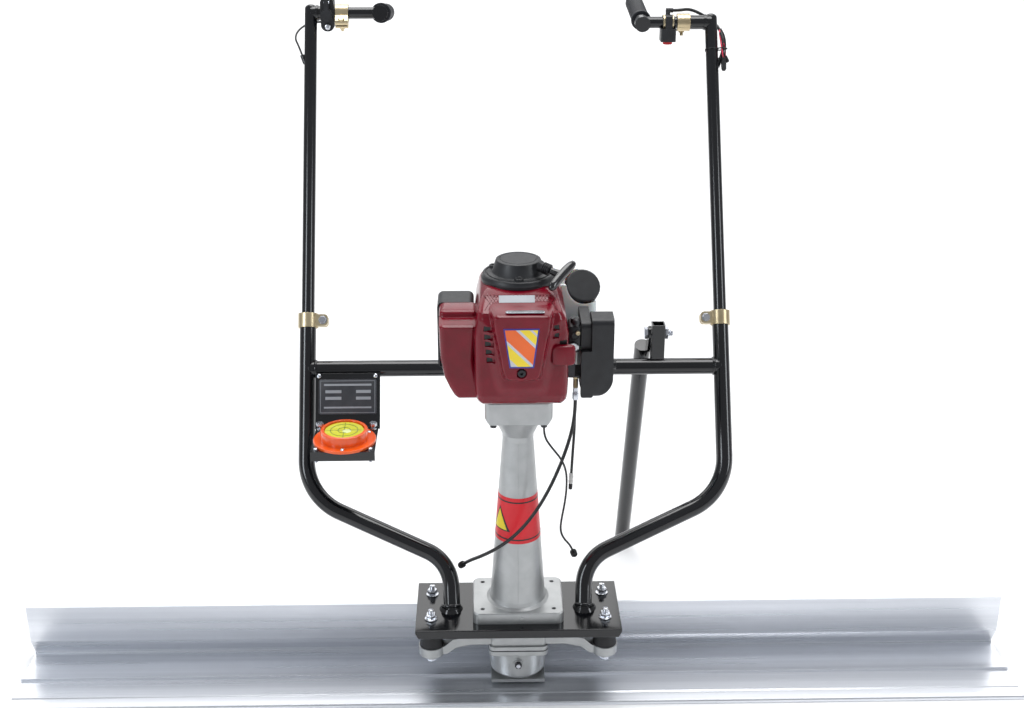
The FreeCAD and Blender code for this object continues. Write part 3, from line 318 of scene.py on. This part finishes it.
cable("throttle_cable_sheath", "throttle_cable",
      metres([(79, -20, 468), (79, -20, 442), (71, -25, 405), (57, -34, 368), (41, -43, 335),
              (21, -51, 303), (-4, -56, 274), (-31, -50, 249), (-54, -35, 228),
              (-71, -12, 208), (-81, 8, 190)]), 0.005)
cable("stop_wire_sheath", "stop_wire",
      metres([(35, -39, 434), (35, -39, 420), (46, -42, 404), (60, -42, 386), (67, -40, 366),
              (68, -38, 342), (66, -36, 316), (62, -33, 290), (60, -28, 266), (66, -18, 246),
              (77, -6, 228), (82, 6, 210)]), 0.003)
PLUG = Vector((75.5, -17, 352))
PLUG_WAY = Vector((-1.5, -3, -30)).normalized()
plug_white = worn("plug_white", (0.55, 0.54, 0.52), (0.7, 0.69, 0.67), (0.35, 0.5), 0.0, 700.0)
lead_plug = piece("lead_plug", *turned(PLUG, PLUG_WAY, [(0, 2.2), (1, 3.2), (7, 3.4), (7.5, 2.8),
                  (11, 2.8), (11.5, 3.3), (15, 3.3), (16, 2.6)], 24), plug_white, "machine")
lead_sleeve = piece("lead_sleeve", *turned(PLUG + PLUG_WAY * 16.1, PLUG_WAY, [(0, 2.4), (1, 2.9),
                    (8, 2.7), (9, 1.6)], 24), FINISHES["cable_sheath"], "machine")
cable("engine_lead_sheath", "engine_lead",
      metres([(81, -8, 510), (80.5, -8.5, 478), (79.5, -10, 446), (79, -12, 414),
              (77, -14, 382), (75.5, -17, 352)]), 0.004)
loop_points = [lean(-299, 916, 14), lean(-313, 916, 14), lean(-328, 909, 12), lean(-338, 896, 6),
               lean(-339.5, 883, 1), lean(-334, 872, 0), lean(-328, 856, 0)]
cable("handle_cable_sheath", "handle_cable", metres(loop_points), 0.003)
right_axis = lean(0, TUBE_TOP["right"])


def by_arm(x, y, z):
    """Point from the right handle arm's axis."""
    return (x, right_axis.y + y, right_axis.z + z)


switch_points = [by_arm(255.3, 8, 17.5), by_arm(265.3, 8, 17.5), by_arm(278.3, 11, 19),
                 by_arm(291.3, 14, 15.5), lean(307, 925, 16), lean(321, 915, 14),
                 lean(331, 898, 8), lean(334, 880, 2), lean(334, 864, 0), lean(328, 848, 0)]
cable("switch_cable_sheath", "switch_wires", metres(switch_points), 0.005)

# Blade and exciter: one extruded aluminium profile, sawn square at both ends, carries the cast
# exciter. A zinc ring round the exciter's plug and a rubber gasket in its flange are added here.
piece("exciter_plug_ring", *turned((0, -50.9, 50), (0, -1, 0),
      [(0, 3.2), (0.4, 3.4), (0.9, 3.2), (0.9, 1.8), (0.5, 1.6)], 24), FINISHES["zinc"], "machine")


def rounded(x0, x1, z0, z1, radius, steps=6):
    """Outline of a rectangle with round corners."""
    points = []
    for cx, cz, start in ((x1 - radius, z1 - radius, 0), (x0 + radius, z1 - radius, 90),
                          (x0 + radius, z0 + radius, 180), (x1 - radius, z0 + radius, 270)):
        for k in range(steps + 1):
            angle = math.radians(start + 90 * k / steps)
            points.append((cx + radius * math.cos(angle), cz + radius * math.sin(angle)))
    return points


seam = [(x, y) for x, y in rounded(-43.9, 43.9, -49.4, 49.4, 9.4, 5)]
piece("exciter_gasket", *loft([[(x, y, z) for x, y in seam] for z in (74.2, 74.5, 75.3, 75.6)]),
      FINISHES["rubber"], "machine")

# Column: cast aluminium with a raised parting line down its front and back. A plain red band
# with two thin black lines and an empty yellow triangle is stuck round it, without any lettering.


def joined(parts):
    """One list of points and faces from several."""
    verts, faces = [], []
    for part_verts, part_faces in parts:
        start = len(verts)
        verts.extend(part_verts)
        faces.extend([tuple(start + i for i in face) for face in part_faces])
    return verts, faces


CONE_FOOT = 150
CONE_FOOT_RADIUS = 40
CONE_TAPER = 18 / 251


def cone_radius(z):
    """Radius of the column at a height."""
    return CONE_FOOT_RADIUS - (z - CONE_FOOT) * CONE_TAPER


def on_cone(arc, z, out):
    """Point on the column's cone, arc millimetres round from its front."""
    radius = cone_radius(z)
    angle = arc / radius
    return (math.sin(angle) * (radius + out), -math.cos(angle) * (radius + out), z)


def cone_patch(rows, out, thick=0.25):
    """Sticker on the cone: rows of (z, left arc, right arc)."""
    verts, faces = [], []
    for layer in (out, out - thick):
        for z, left, right in rows:
            for k in range(13):
                verts.append(on_cone(left + (right - left) * k / 12, z, layer))
    size = len(rows) * 13
    for r in range(len(rows) - 1):
        for k in range(12):
            a = r * 13 + k
            faces.append((a, a + 1, a + 14, a + 13))
            faces.append((size + a, size + a + 13, size + a + 14, size + a + 1))
    return verts, faces


def flat_color(name, color, rough=(0.3, 0.42)):
    """Printed or moulded colour that hardly varies, also used as the painted shade inside the cooling
    slots.
    """
    dark = tuple(0.86 * c for c in color)
    return worn(name, dark, color, rough, 0.0, 500.0, 0.03)


band_red = flat_color("band_red", (0.72, 0.008, 0.018))
# Black for the printed column lines and the triangle's border, and the painted shade inside the cooling
# slots.
black_print_and_slot_shade = flat_color("black_print_and_slot_shade", (0.01, 0.01, 0.011))
triangle_yellow = flat_color("triangle_yellow", (0.85, 0.66, 0.02))
BAND_LOW = 246
BAND_HIGH = 317
piece("column_band", *turned((0, 0, 0), (0, 0, 1), [(BAND_LOW, cone_radius(BAND_LOW) - 0.4),
      (BAND_LOW + 0.1, cone_radius(BAND_LOW) + 0.25), (BAND_HIGH - 0.1, cone_radius(BAND_HIGH) + 0.25),
      (BAND_HIGH, cone_radius(BAND_HIGH) - 0.4)], 64), band_red, "machine")
for index, z in enumerate((251, 309)):
    piece("column_line_%d" % index, *turned((0, 0, 0), (0, 0, 1),
          [(z, cone_radius(z) - 0.3), (z + 0.1, cone_radius(z) + 0.36),
           (z + 2.2, cone_radius(z) + 0.33), (z + 2.3, cone_radius(z) - 0.3)], 64),
          black_print_and_slot_shade, "machine")
for index, (grow, out, material) in enumerate(((3.2, 0.6, black_print_and_slot_shade), (0, 0.85, triangle_yellow))):
    rows = [(266 - grow * 0.6 + (30 + grow * 1.8) * k / 8,
             -30 - (13 + grow * 1.4) * (1 - k / 8) - 0.2, -30 + (13 + grow * 1.4) * (1 - k / 8) + 0.2)
            for k in range(9)]
    piece("column_triangle_%d" % index, *cone_patch(rows, out), material, "machine")
for index, side in enumerate((-1, 1)):
    lines = []
    for heights in ((153, 200, 240), (322, 360, 399)):
        lines.append(loft([[(x, side * (cone_radius(z) + h), z) for x, h in
                            ((-0.9, -0.5), (-0.5, 0.28), (0.5, 0.28), (0.9, -0.5))]
                           for z in heights]))
    piece("parting_line_%d" % index, *joined(lines), FINISHES["cast_aluminium"], "machine",
          slot="cast_aluminium")

# Frame: bent steel tube welded to the base plate, painted gloss black. The uneven weld beads at
# the feet, the crossbar's ends and the handle stubs lie under the paint.
random.seed(11)


def bead(centre, direction, radius, thick):
    """Weld bead round a tube."""
    profile = [(thick * math.cos(a), radius + thick * math.sin(a) * 0.8)
               for a in [math.pi * k / 8 for k in range(9)]]
    return turned(centre, direction, profile, 56, 0.35)


beads = []
for side in (-1, 1):
    beads.append(bead((side * 99, -7, 127.8), (side * 0.04, 0.5, 0.866), 13.0, 2.6))
    beads.append(bead(lean(side * 302.2, 361), (-side, 0, 0), 12.2, 2.2))
piece("weld_beads", *joined(beads), FINISHES["black_paint"], "machine", slot="black_paint")
for name, side in (("left", -1), ("right", 1)):
    ring = bead(lean(side * 304.6, TUBE_TOP[name]), (-side, 0, 0), 10.8, 1.6)
    piece("stub_weld_" + name, *ring, FINISHES["black_paint"], name + "_post", slot="black_paint")

# Level and name plate: a dark anodised plate with a pale border and blank fields is riveted to
# the bracket, and a round bubble level marked with two circles and a cross sits on the shelf.


def plate(outline, depth, plane, at):
    """Flat piece with eased edges: outline pairs in plane 'xz' or 'xy', standing out by depth."""
    middle = Vector((sum(a for a, _ in outline), sum(b for _, b in outline))) / len(outline)
    rings = []
    for out, shrink in ((0, 0), (depth * 0.6, 0), (depth, 0.35)):
        ring = []
        for a, b in outline:
            p = Vector((a, b))
            q = p - (p - middle).normalized() * shrink
            ring.append((q.x, at - out, q.y) if plane == "xz" else (q.x, q.y, at + out))
        rings.append(ring)
    return loft(rings)


def lean_shape(shape):
    """Points drawn upright, moved on to the leaning plane."""
    verts, faces = shape
    return [lean(v.x, v.z, v.y) for v in verts], faces


plate_pale = flat_color("plate_pale", (0.33, 0.35, 0.38))
marks = []
for x0, x1, z0, z1 in ((-293.5, -211.5, 340.2, 340.8), (-293.5, -211.5, 292.2, 292.8),
                       (-293.5, -292.9, 292.2, 340.8), (-212.1, -211.5, 292.2, 340.8),
                       (-288, -217, 333, 336), (-286, -262, 322, 326.5), (-240, -218, 322, 326.5),
                       (-286, -262, 312, 316.5), (-240, -218, 312, 316.5), (-288, -217, 299, 301.5)):
    shape = plate([(x0, z0), (x1, z0), (x1, z1), (x0, z1)], 0.18, "xz", -16.4)
    marks.append(lean_shape(shape))
piece("name_plate_marks", *joined(marks), plate_pale, "machine")
LEVEL = Vector((-252.5, 66.0, 383.0))
mark_dark = flat_color("level_mark", (0.10, 0.16, 0.02))
level_lines = []
for radius in (9, 20):
    level_lines.append(turned(LEVEL - Vector((0, 0, 0.05)), (0, 0, 1),
                       [(0, radius - 0.5), (0.25, radius - 0.45), (0.25, radius + 0.45),
                        (0, radius + 0.5)], 48, closed=False))
for angle in (0, math.pi / 2):
    along = Vector((math.cos(angle), math.sin(angle), 0))
    across = Vector((-along.y, along.x, 0)) * 0.4
    rings = [[LEVEL + along * a + across - Vector((0, 0, 0.1)),
              LEVEL + along * a + across + Vector((0, 0, 0.2)),
              LEVEL + along * a - across + Vector((0, 0, 0.2)),
              LEVEL + along * a - across - Vector((0, 0, 0.1))] for a in (-26, 26)]
    level_lines.append(loft(rings))
piece("level_marks", *joined(level_lines), mark_dark, "machine")
piece("level_bubble", *turned(LEVEL + Vector((4, -3, -0.1)), (0, 0, 1),
      [(0, 6.5), (0.25, 6.2), (0.45, 4.0), (0.5, 0.5)], 32),
      flat_color("bubble", (0.82, 0.9, 0.42), (0.08, 0.14)), "machine")

# Engine cover: two deep rounded mouldings in gloss red plastic over the muffler and the cylinder,
# with a raised centre panel, cooling slots and a side tab. A screw goes into the front recess.


def ease(t):
    """Smooth step from 0 to 1."""
    t = min(1.0, max(0.0, t))
    return t * t * (3 - 2 * t)


def inside(x, z, low, high, left, right, soft):
    """How far (0 to 1) a point is inside a block tapering from its low to its high edges."""
    t = min(1.0, max(0.0, (z - low) / (high - low)))
    x0 = left[0] + (left[1] - left[0]) * t
    x1 = right[0] + (right[1] - right[0]) * t
    gaps = (x - x0, x1 - x, z - low, high - z)
    reach = -3.5 * math.log(sum(math.exp(-g / 3.5) for g in gaps))
    return ease(reach / soft + 0.5)


VENTS = [(-41.5 + k * 0.9, 602 - k * 11.2, 10.5) for k in range(5)] + [
    (47, 603, 7.5), (47, 591, 7.5), (57, 580, 8)]
COVER_LOW = 487
COVER_HIGH = 640
COVER_DEPTH = 92
PANEL_DEPTH = 110.5
SHOULDER = 622
SHOULDER_RISE = 17
SHOULDER_RUN = 42
SCREW_X = 2
SCREW_Z = 545


def main_depth(x, z):
    """How far the cylinder side of the cover stands out to the front."""
    depth = COVER_DEPTH
    if z >= SHOULDER:
        depth = COVER_DEPTH - (z - SHOULDER) / SHOULDER_RISE * SHOULDER_RUN
    depth = min(depth, 84 + (z - COVER_LOW) * 0.45)
    bulge = 6.5 * inside(x, z, 512, 612, (-26, -47), (32, 50), 16)
    panel = inside(x, z, 533, 627, (-21, -38), (26, 43), 7)
    depth = depth + bulge * (1 - panel) + (PANEL_DEPTH - depth) * panel
    if math.hypot(x - SCREW_X, z - SCREW_Z) < 6.4:
        return depth - 3.5
    for slot_x, slot_z, wide in VENTS:
        if abs(x - slot_x) < wide / 2 and abs(z - slot_z) < 3.2:
            return depth - 5
    return depth


def left_depth(x, z):
    """How far the muffler side of the cover stands out to the front."""
    return 80 - 26 * ease((z - 598) / 6)


def edges(z, sides, low, high, radius):
    """Left and right edge at a height, rounded off at the bottom and top corners."""
    for (z0, l0, r0), (z1, l1, r1) in zip(sides, sides[1:]):
        if z <= z1:
            break
    t = min(1.0, max(0.0, (z - z0) / (z1 - z0)))
    near = min(z - low, high - z)
    inset = 0.0
    if near < radius:
        inset = radius - math.sqrt(max(0.0, radius ** 2 - (radius - near) ** 2))
    return l0 + (l1 - l0) * t + inset, r0 + (r1 - r0) * t - inset


def moulding(sides, low, high, corner, depth, lip, back, columns, rows):
    """Open-backed moulded skin with a rounded front edge and walls running back."""
    count = columns + 3
    verts, faces = [], []
    heights = [low + (high - low) * k / rows for k in range(rows + 1)]
    for r in range(-1, rows + 2):
        z = heights[min(rows, max(0, r))]
        left, right = edges(z, sides, low, high, corner)
        for c in range(-1, columns + 2):
            t = min(columns, max(0, c)) / columns
            x = left + (right - left) * t
            reach = min(x - left, right - x, (z - low) * 1.2, (high - z) * 1.5)
            drop = lip - math.sqrt(max(0.0, lip ** 2 - max(0.0, lip - reach) ** 2))
            y = -(depth(x, z) - drop)
            if r in (-1, rows + 1) or c in (-1, columns + 1):
                y = back
            verts.append((x, y, z))
    for r in range(rows + 2):
        for c in range(count - 1):
            a = r * count + c
            faces.append((a, a + 1, a + count + 1, a + count))
    return verts, faces


main_sides = [(COVER_LOW, -57, 63), (520, -60, 64.5), (590, -60, 64.5), (612, -57, 61),
              (COVER_HIGH, -50, 46)]
left_sides = [(494, -84, -50), (510, -93, -52), (526, -100, -56), (552, -105, -60),
              (611, -107, -55)]
cover = joined([moulding(main_sides, COVER_LOW, COVER_HIGH, 13, main_depth, 11, 40, 130, 120),
                moulding(left_sides, 495, 612, 7, left_depth, 8, -21, 50, 80)])
cover = piece("engine_cover", *cover, FINISHES["red_shroud"], "machine", slot="red_shroud")
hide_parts("engine_shroud", "top_cover")
tab_rings = []
for y, shrink in ((-91, 0), (-95, 0), (-97, 1.2), (-97.5, 3)):
    tab_rings.append([(x, y, z) for x, z in rounded(42 + shrink, 73 - shrink, 550 + shrink,
                                                    578 - shrink, 6)])
piece("cover_tab", *loft(tab_rings), FINISHES["red_shroud"], "machine", slot="red_shroud")
# Painted shade: black sheets at the bottom of the shallow vent recesses stand in for the dark inside of
# the cooling slots.
cooling = []
for x, z, wide in VENTS:
    outline = rounded(x - wide / 2 - 1, x + wide / 2 + 1, z - 4.2, z + 4.2, 2, 3)
    cooling.append(plate(outline, 0.8, "xz", -main_depth(x, z) - 0.2))
piece("cooling_slot_shade", *joined(cooling), black_print_and_slot_shade, "machine")
opening = rounded(-19, 32, -106.0, -98.5, 3.6, 4)
piece("cover_opening", *plate(opening, 1.1, "xy", 627.6), FINISHES["zinc"], "machine")


def clipped(outline, low, high):
    """Part of an outline between two diagonals, x + z from low to high."""
    for limit, sign in ((low, 1), (high, -1)):
        kept = []
        for (ax, az), (bx, bz) in zip(outline, outline[1:] + outline[:1]):
            a = sign * (ax + az - limit)
            b = sign * (bx + bz - limit)
            if a >= 0:
                kept.append((ax, az))
            if a * b < 0:
                t = a / (a - b)
                kept.append((ax + (bx - ax) * t, az + (bz - az) * t))
        outline = kept
    return outline


STICKER = [(-14, 553), (18, 553), (25, 608), (-22, 608)]
sticker_blue = flat_color("sticker_blue", (0.02, 0.03, 0.32))
piece("sticker_border", *plate(STICKER, 0.3, "xz", 0.1 - PANEL_DEPTH), sticker_blue, "machine")
FIELD = [(-12.3, 555), (16.3, 555), (23, 606), (-20, 606)]
sticker_grey = flat_color("sticker_grey", (0.62, 0.62, 0.66))
sticker_orange = flat_color("sticker_orange", (0.90, 0.16, 0.03))
sticker_yellow = flat_color("sticker_yellow", (0.95, 0.72, 0.04))
for index, (low, high, material) in enumerate(((540, 552, sticker_grey), (552, 569, sticker_yellow),
                                               (569, 574, sticker_grey), (574, 600, sticker_orange),
                                               (600, 605, sticker_grey), (605, 618, sticker_yellow),
                                               (618, 622, sticker_grey),
                                               (622, 640, sticker_yellow))):
    stripe = clipped(FIELD, low, high)
    if len(stripe) > 2:
        piece("sticker_stripe_%d" % index, *plate(stripe, 0.2, "xz", -0.2 - PANEL_DEPTH), material,
              "machine", smooth=False)


def slope(x, y, out):
    """Point above the cover's sloping top, between the panel and the recoil starter."""
    height = SHOULDER + (COVER_DEPTH + y) / SHOULDER_RUN * SHOULDER_RISE
    return (x, y + out * 0.37, height + out * 0.93)


tag = [[slope(x, y, out) for x, y in ((-27, -73), (20, -73), (20, -60), (-27, -60))]
       for out in (-0.5, 0.5, 0.7)]
piece("serial_tag", *loft(tag), plate_pale, "machine", smooth=False)
ribs = []
for k in range(24):
    for lean_way in (-1, 1):
        x = -50 + k * 4.3
        ends = [(x, -86), (x + lean_way * 14, -58)]
        if min(x, ends[1][0]) < -48 or max(x, ends[1][0]) > 52:
            continue
        ribs.append(loft([[slope(px + d, py, out) for d, out in ((-0.45, -0.3), (0, 0.5),
                                                                (0.45, -0.3))]
                          for px, py in ends]))
piece("cover_mesh", *joined(ribs), FINISHES["red_shroud"], "machine", slot="red_shroud")

# Recoil starter: black moulded drum with stepped grooves, three screw lugs and a ribbed rope
# guide; the T-shaped pull handle hangs on the end of the rope.
drum = turned((0, 0, 0), (0, 0, 1), [(638.6, 44), (638.6, 50.4), (642.5, 50.4), (644, 49), (647.5, 48.2),
              (648.6, 46.8), (648.6, 44.6), (647.6, 44.2), (647.6, 42.6), (648.8, 42.2),
              (648.8, 36.5), (649.6, 35.4), (664, 31.2), (666.4, 30.2), (667.4, 28),
              (667.4, 26.2), (666.8, 25.6), (666.8, 24.6), (667.4, 24), (667.5, 4)], 96)
starter_parts = [drum]
for angle in (-90, 30, 150):
    way = Vector((math.cos(math.radians(angle)), math.sin(math.radians(angle)), 0))
    starter_parts.append(turned(way * 38.5 + Vector((0, 0, 646)), (0, 0, 1),
                         [(0, 6.4), (5.4, 6.0), (6.2, 5.2), (6.2, 3.2), (4.6, 3.0), (4.6, 0.6)], 28))
guide_root = Vector((28, -22, 663.4))
guide_end = Vector((41.9, -31.3, 659.9))
pull = (guide_end - guide_root).normalized()
reach = (guide_end - guide_root).length
profile = [(0, 8.2)]
for k in range(4):
    start = reach * (0.35 + 0.16 * k)
    profile += [(start, 6.4), (start + 0.4, 8.0), (start + 1.5, 8.0), (start + 1.9, 6.4)]
profile += [(reach - 0.2, 6.6), (reach, 5.4), (reach, 2.6)]
starter_parts.append(turned(guide_root, pull, profile, 32))
starter = piece("recoil_starter", *joined(starter_parts), FINISHES["black_plastic"], "machine",
                slot="black_plastic")
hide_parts("recoil_housing")
across = Vector((0.42, 0.80, 0.42))
across = (across - pull * across.dot(pull)).normalized()
side_way = pull.cross(across)
rings = []
for k in range(21):
    t = -1 + k / 10
    bulk = math.sqrt(max(0.0, 1 - abs(t) ** 5)) + 0.02
    middle = guide_end + pull * (19 + 1.6 * (t * t - 1)) + across * t * 30.8
    rings.append([middle + (side_way * math.cos(a) * 6.8 + pull * math.sin(a) * 6.2) * bulk
                  for a in [2 * math.pi * i / 28 for i in range(28)]])
stem = turned(guide_end + pull * 0.6, pull, [(0, 3.4), (0.8, 4.6), (6, 5.0), (14, 6.2)], 28)
gloss_black = worn("gloss_black", (0.006, 0.006, 0.007), (0.014, 0.014, 0.016), (0.12, 0.2), 0.0,
                   700.0, 0.03, 0.0006, Coat_Weight=0.5)
handle = piece("pull_handle", *joined([loft(rings), stem]), gloss_black, "starter_grip")
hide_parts("starter_grip")

# Carburettor: a small die-cast body with a black finish between cover and cleaner, with a plated
# idle screw. The cable adjuster below it is a blackened bracket, a plated barrel and a ferrule.


def nut(start, direction, flats, height, spin=0.0):
    """Hexagon with chamfered corners."""
    turn = aim(direction)
    corner = flats / math.sqrt(3)
    rings = []
    for along, scale in ((0, 0.93), (height * 0.12, 1.0), (height * 0.86, 1.0), (height, 0.9)):
        rings.append([Vector(start) + turn @ Vector((corner * scale * math.cos(a + spin),
                      corner * scale * math.sin(a + spin), along))
                      for a in [math.pi * k / 3 for k in range(6)]])
    return loft(rings)


def thread(start, direction, radius, length, pitch=1.25):
    """Threaded rod with a chamfered tip."""
    profile = [(0, radius)]
    along = 0.0
    while along < length - pitch * 1.5:
        profile.append((along + pitch * 0.5, radius * 0.86))
        profile.append((along + pitch, radius))
        along += pitch
    profile.append((length, radius * 0.72))
    return turned(start, direction, profile, 20)


body_rings = [[(x, y, z) for x, z in rounded(67 + d, 82.5 - d, 546.5 + d, 584 - d, 4)]
              for y, d in ((-10, 0), (-41.2, 0), (-42.4, 1.4))]
carb = [loft(body_rings), turned((65, -24, 565), (1, 0, 0), [(0, 13), (18.6, 13)], 40),
        turned((76, -41.5, 571), (0, -1, 0), [(0, 6.4), (1.6, 6.0), (2.2, 4.6), (1.4, 4.2)], 32)]
carb_piece = piece("carburettor_body", *joined(carb), FINISHES["black_plastic"], "machine",
                   slot="cast_aluminium")
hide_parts("carburettor")
piece("idle_screw", *turned((79, -42.3, 576), (0, -1, 0), [(0, 2.3), (2, 2.3), (2.2, 3.0),
      (4, 3.0), (4.4, 2.2), (3.8, 0.4)], 24), FINISHES["yellow_zinc"], "machine",
      slot="yellow_zinc")
arm = [[(x, y, z) for x, z in rounded(67, 76, 512, 547, 2.5)] for y in (-42.1, -43.9)]
foot = [[(x, y, z) for x, y in rounded(67, 84, -43, -3, 2.5)] for z in (510.1, 512.9)]
adjuster = piece("adjuster_bracket", *joined([loft(arm), loft(foot)]), FINISHES["black_oxide"],
                 "machine", slot="yellow_zinc")
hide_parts("cable_adjuster")
brass = [thread((79, -20, 486), (0, 0, 1), 3.6, 24, 1.0), nut((79, -20, 500), (0, 0, 1), 8, 5)]
piece("adjuster_barrel", *joined(brass), FINISHES["yellow_zinc"], "machine", slot="yellow_zinc")
piece("adjuster_ferrule", *turned((79, -20, 468), (0, 0, 1), [(0, 2.6), (0, 4.0), (1, 4.4), (9, 4.4),
      (10, 3.8), (15, 3.6), (18, 3.2)], 28), FINISHES["zinc"], "machine", slot="zinc")

# Handle controls: zinc screws hold the throttle housing, plated straps hold the stop switch, and
# spare switch wires in black and red sleeves are tied beside the right tube.
left_axis = lean(0, TUBE_TOP["left"])
heads = []
for z in (-19, 19):
    spot = Vector((-288.5, left_axis.y - 15.9, left_axis.z + z))
    heads.append(turned(spot, (0, -1, 0), [(0, 4.6), (1.4, 4.4), (2.4, 3.2), (2.5, 1.4), (1.6, 1.2),
                                           (1.6, 0.2)], 28))
piece("throttle_screws", *joined(heads), FINISHES["zinc"], "left_post", slot="zinc")
straps = []
for x in (238.8, 251.2):
    straps.append(turned((x, right_axis.y, right_axis.z), (1, 0, 0), [(0, 11.1), (0.2, 12.0),
                  (4.2, 12.0), (4.4, 11.1)], 44))
piece("switch_straps", *joined(straps), FINISHES["yellow_zinc"], "right_handle",
      slot="yellow_zinc")


def wire(points, radius):
    """Thin round wire through points, smoothed between them."""
    line = [Vector(p) for p in points]
    for _ in range(2):
        cut = [line[0]]
        for a, b in zip(line, line[1:]):
            cut += [a.lerp(b, 0.25), a.lerp(b, 0.75)]
        line = cut + [line[-1]]
    rings = []
    for k, here in enumerate(line):
        along = line[min(k + 1, len(line) - 1)] - line[max(k - 1, 0)]
        turn = aim(along)
        rings.append([here + turn @ Vector((radius * math.cos(t), radius * math.sin(t), 0))
                      for t in [2 * math.pi * i / 12 for i in range(12)]])
    return loft(rings)


wire_red = flat_color("wire_red", (0.72, 0.03, 0.08))
red = [wire([lean(327.5, 893, -5), lean(327, 884, -8), lean(328.5, 872, -8), lean(330, 858, -8),
             lean(332, 846, -7)], 1.2),
       wire([lean(333, 872, -5), lean(336, 862, -4), lean(335.5, 850, -4)], 1.1)]
piece("spare_wires_red", *joined(red), wire_red, "right_post")
black = [wire([lean(330, 896, -3), lean(335, 884, -5), lean(336.5, 868, -6), lean(334, 850, -6)], 1.2),
         wire([lean(327, 888, -8), lean(331, 874, -9), lean(332.5, 858, -8), lean(331, 844, -7)], 1.1),
         turned(lean(332, 847, -7), lean(0, -1) - lean(0, 0), [(0, 2.2), (1, 3.6), (9, 4.2),
                (18, 4.0), (21, 2.4)], 24),
         turned(lean(335, 851, -4), lean(3, -8) - lean(0, 0), [(0, 2.0), (1, 3.0), (9, 3.4),
                (11, 2.2)], 24),
         turned(lean(315, 861), lean(0, 1) - lean(0, 0), [(0, 9.8), (0.2, 10.8), (2.6, 10.8),
                (2.8, 9.8)], 44),
         wire([lean(322, 862.4, -7.5), lean(329, 862.4, -10.5), lean(337.5, 862.4, -8),
               lean(338.5, 862.4, -4), lean(325, 862.4, 2)], 1.0)]
piece("spare_wires_black", *joined(black), FINISHES["cable_sheath"], "right_post",
      slot="cable_sheath")

# Grips: moulded rubber sleeves with a ribbed collar and fine rings, pushed on the handle bars.
# Each has a flat end disc with a shallow dimple.
RING_PITCH = 4.6
for name, side, tilt in (("left", -1, -8.0), ("right", 1, 5.5)):
    axis = lean(0, TUBE_TOP[name])
    start = Vector((side * 206, axis.y, axis.z))
    turn = math.radians(tilt)
    way = Vector((0, math.cos(turn), math.sin(turn)))
    profile = [(12, 12.3), (12, 15.0), (13, 15.8), (17, 15.8), (18, 14.4)]
    for k in range(22):
        at = 20 + k * RING_PITCH
        profile += [(at, 14.2), (at + 0.5, 13.4), (at + 1.5, 13.4), (at + 2.0, 14.2)]
    profile += [(127, 14.3), (129, 13.4), (130, 11.6), (130, 6.0), (129.2, 5.0), (129.2, 0.5)]
    sleeve = piece("grip_sleeve_" + name, *turned(start, way, profile, 48),
                   FINISHES["grip_rubber"], name + "_handle", slot="grip_rubber")
    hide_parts("grip_" + name)

# Fasteners: zinc-plated flange nuts on threaded studs, clamp bolts, the leg's hinge bolt, the
# bracket's bolts and rivets, and the level's screws. The rivets are pressed, the rest screwed in.
hardware = []
for x in (-128, 128):
    for y in (-33.5, 33.5):
        spin = random.uniform(0, 1)
        hardware.append(turned((x, y, 123), (0, 0, 1), [(0, 9), (0.4, 9.3), (1.5, 9.3), (2.2, 8.2)], 32))
        hardware.append(nut((x, y, 125.0), (0, 0, 1), 13, 7, spin))
        hardware.append(thread((x, y, 131.9), (0, 0, 1), 4, 7.1))
        hardware.append(nut((x, y, 58), (0, 0, -1), 13, 6, spin))
        hardware.append(thread((x, y, 52.1), (0, 0, -1), 3.9, 2.1))
for x in (-292, -213):
    hardware.append(turned((x, 36, 366), (0, 0, 1), [(0, 3.3), (2.2, 3.1), (3, 2.0)], 24))
    hardware.append(nut((x, 36, 363), (0, 0, -1), 8, 5))
    hardware.append(thread((x, 36, 358), (0, 0, -1), 2.5, 12))
    hardware.append(nut((x, 101, 366), (0, 0, 1), 8, 4))
    hardware.append(thread((x, 101, 370), (0, 0, 1), 2.5, 3))
    hardware.append(nut((x, 101, 373), (0, 0, 1), 10, 6))
    hardware.append(nut((x, 101, 363), (0, 0, -1), 8, 4))
    hardware.append(thread((x, 101, 359), (0, 0, -1), 2.5, 5))
for x in (-296, -211):
    rivet = turned((x, -15.4, 348), (0, -1, 0), [(0, 3.2), (0.8, 3.1), (1.7, 2.0), (2.0, 0.3)], 24)
    hardware.append(lean_shape(rivet))
for angle in (-90, 30, 150):
    spot = (LEVEL.x + 40 * math.cos(math.radians(angle)), LEVEL.y + 40 * math.sin(math.radians(angle)))
    hardware.append(turned((*spot, 370), (0, 0, 1), [(0, 3.1), (1.2, 2.9), (2, 1.6), (1.2, 1.2),
                                                     (1.1, 0.3)], 24))
HINGE_Y = 186
HINGE_Z = 485
hardware.append(nut((202.2, HINGE_Y, HINGE_Z), (-1, 0, 0), 16, 5.8))
hardware.append(nut((227, HINGE_Y, HINGE_Z), (1, 0, 0), 16, 6))
hardware.append(thread((233, HINGE_Y, HINGE_Z), (1, 0, 0), 5, 7, 1.5))
for side in (-1, 1):
    x = side * 292
    for shape in (nut((x, -8, 435), (0, -1, 0), 10, 4.5), nut((x, 8, 435), (0, 1, 0), 10, 5),
                  thread((x, 13, 435), (0, 1, 0), 3, 5, 1.0),
                  turned((x, -8, 435), (0, -1, 0), [(0, 6.5), (0.8, 6.5)], 28)):
        hardware.append(lean_shape(shape))
fasteners = piece("zinc_hardware", *joined(hardware), FINISHES["zinc"], "machine", slot="zinc")
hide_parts("zinc_fasteners")
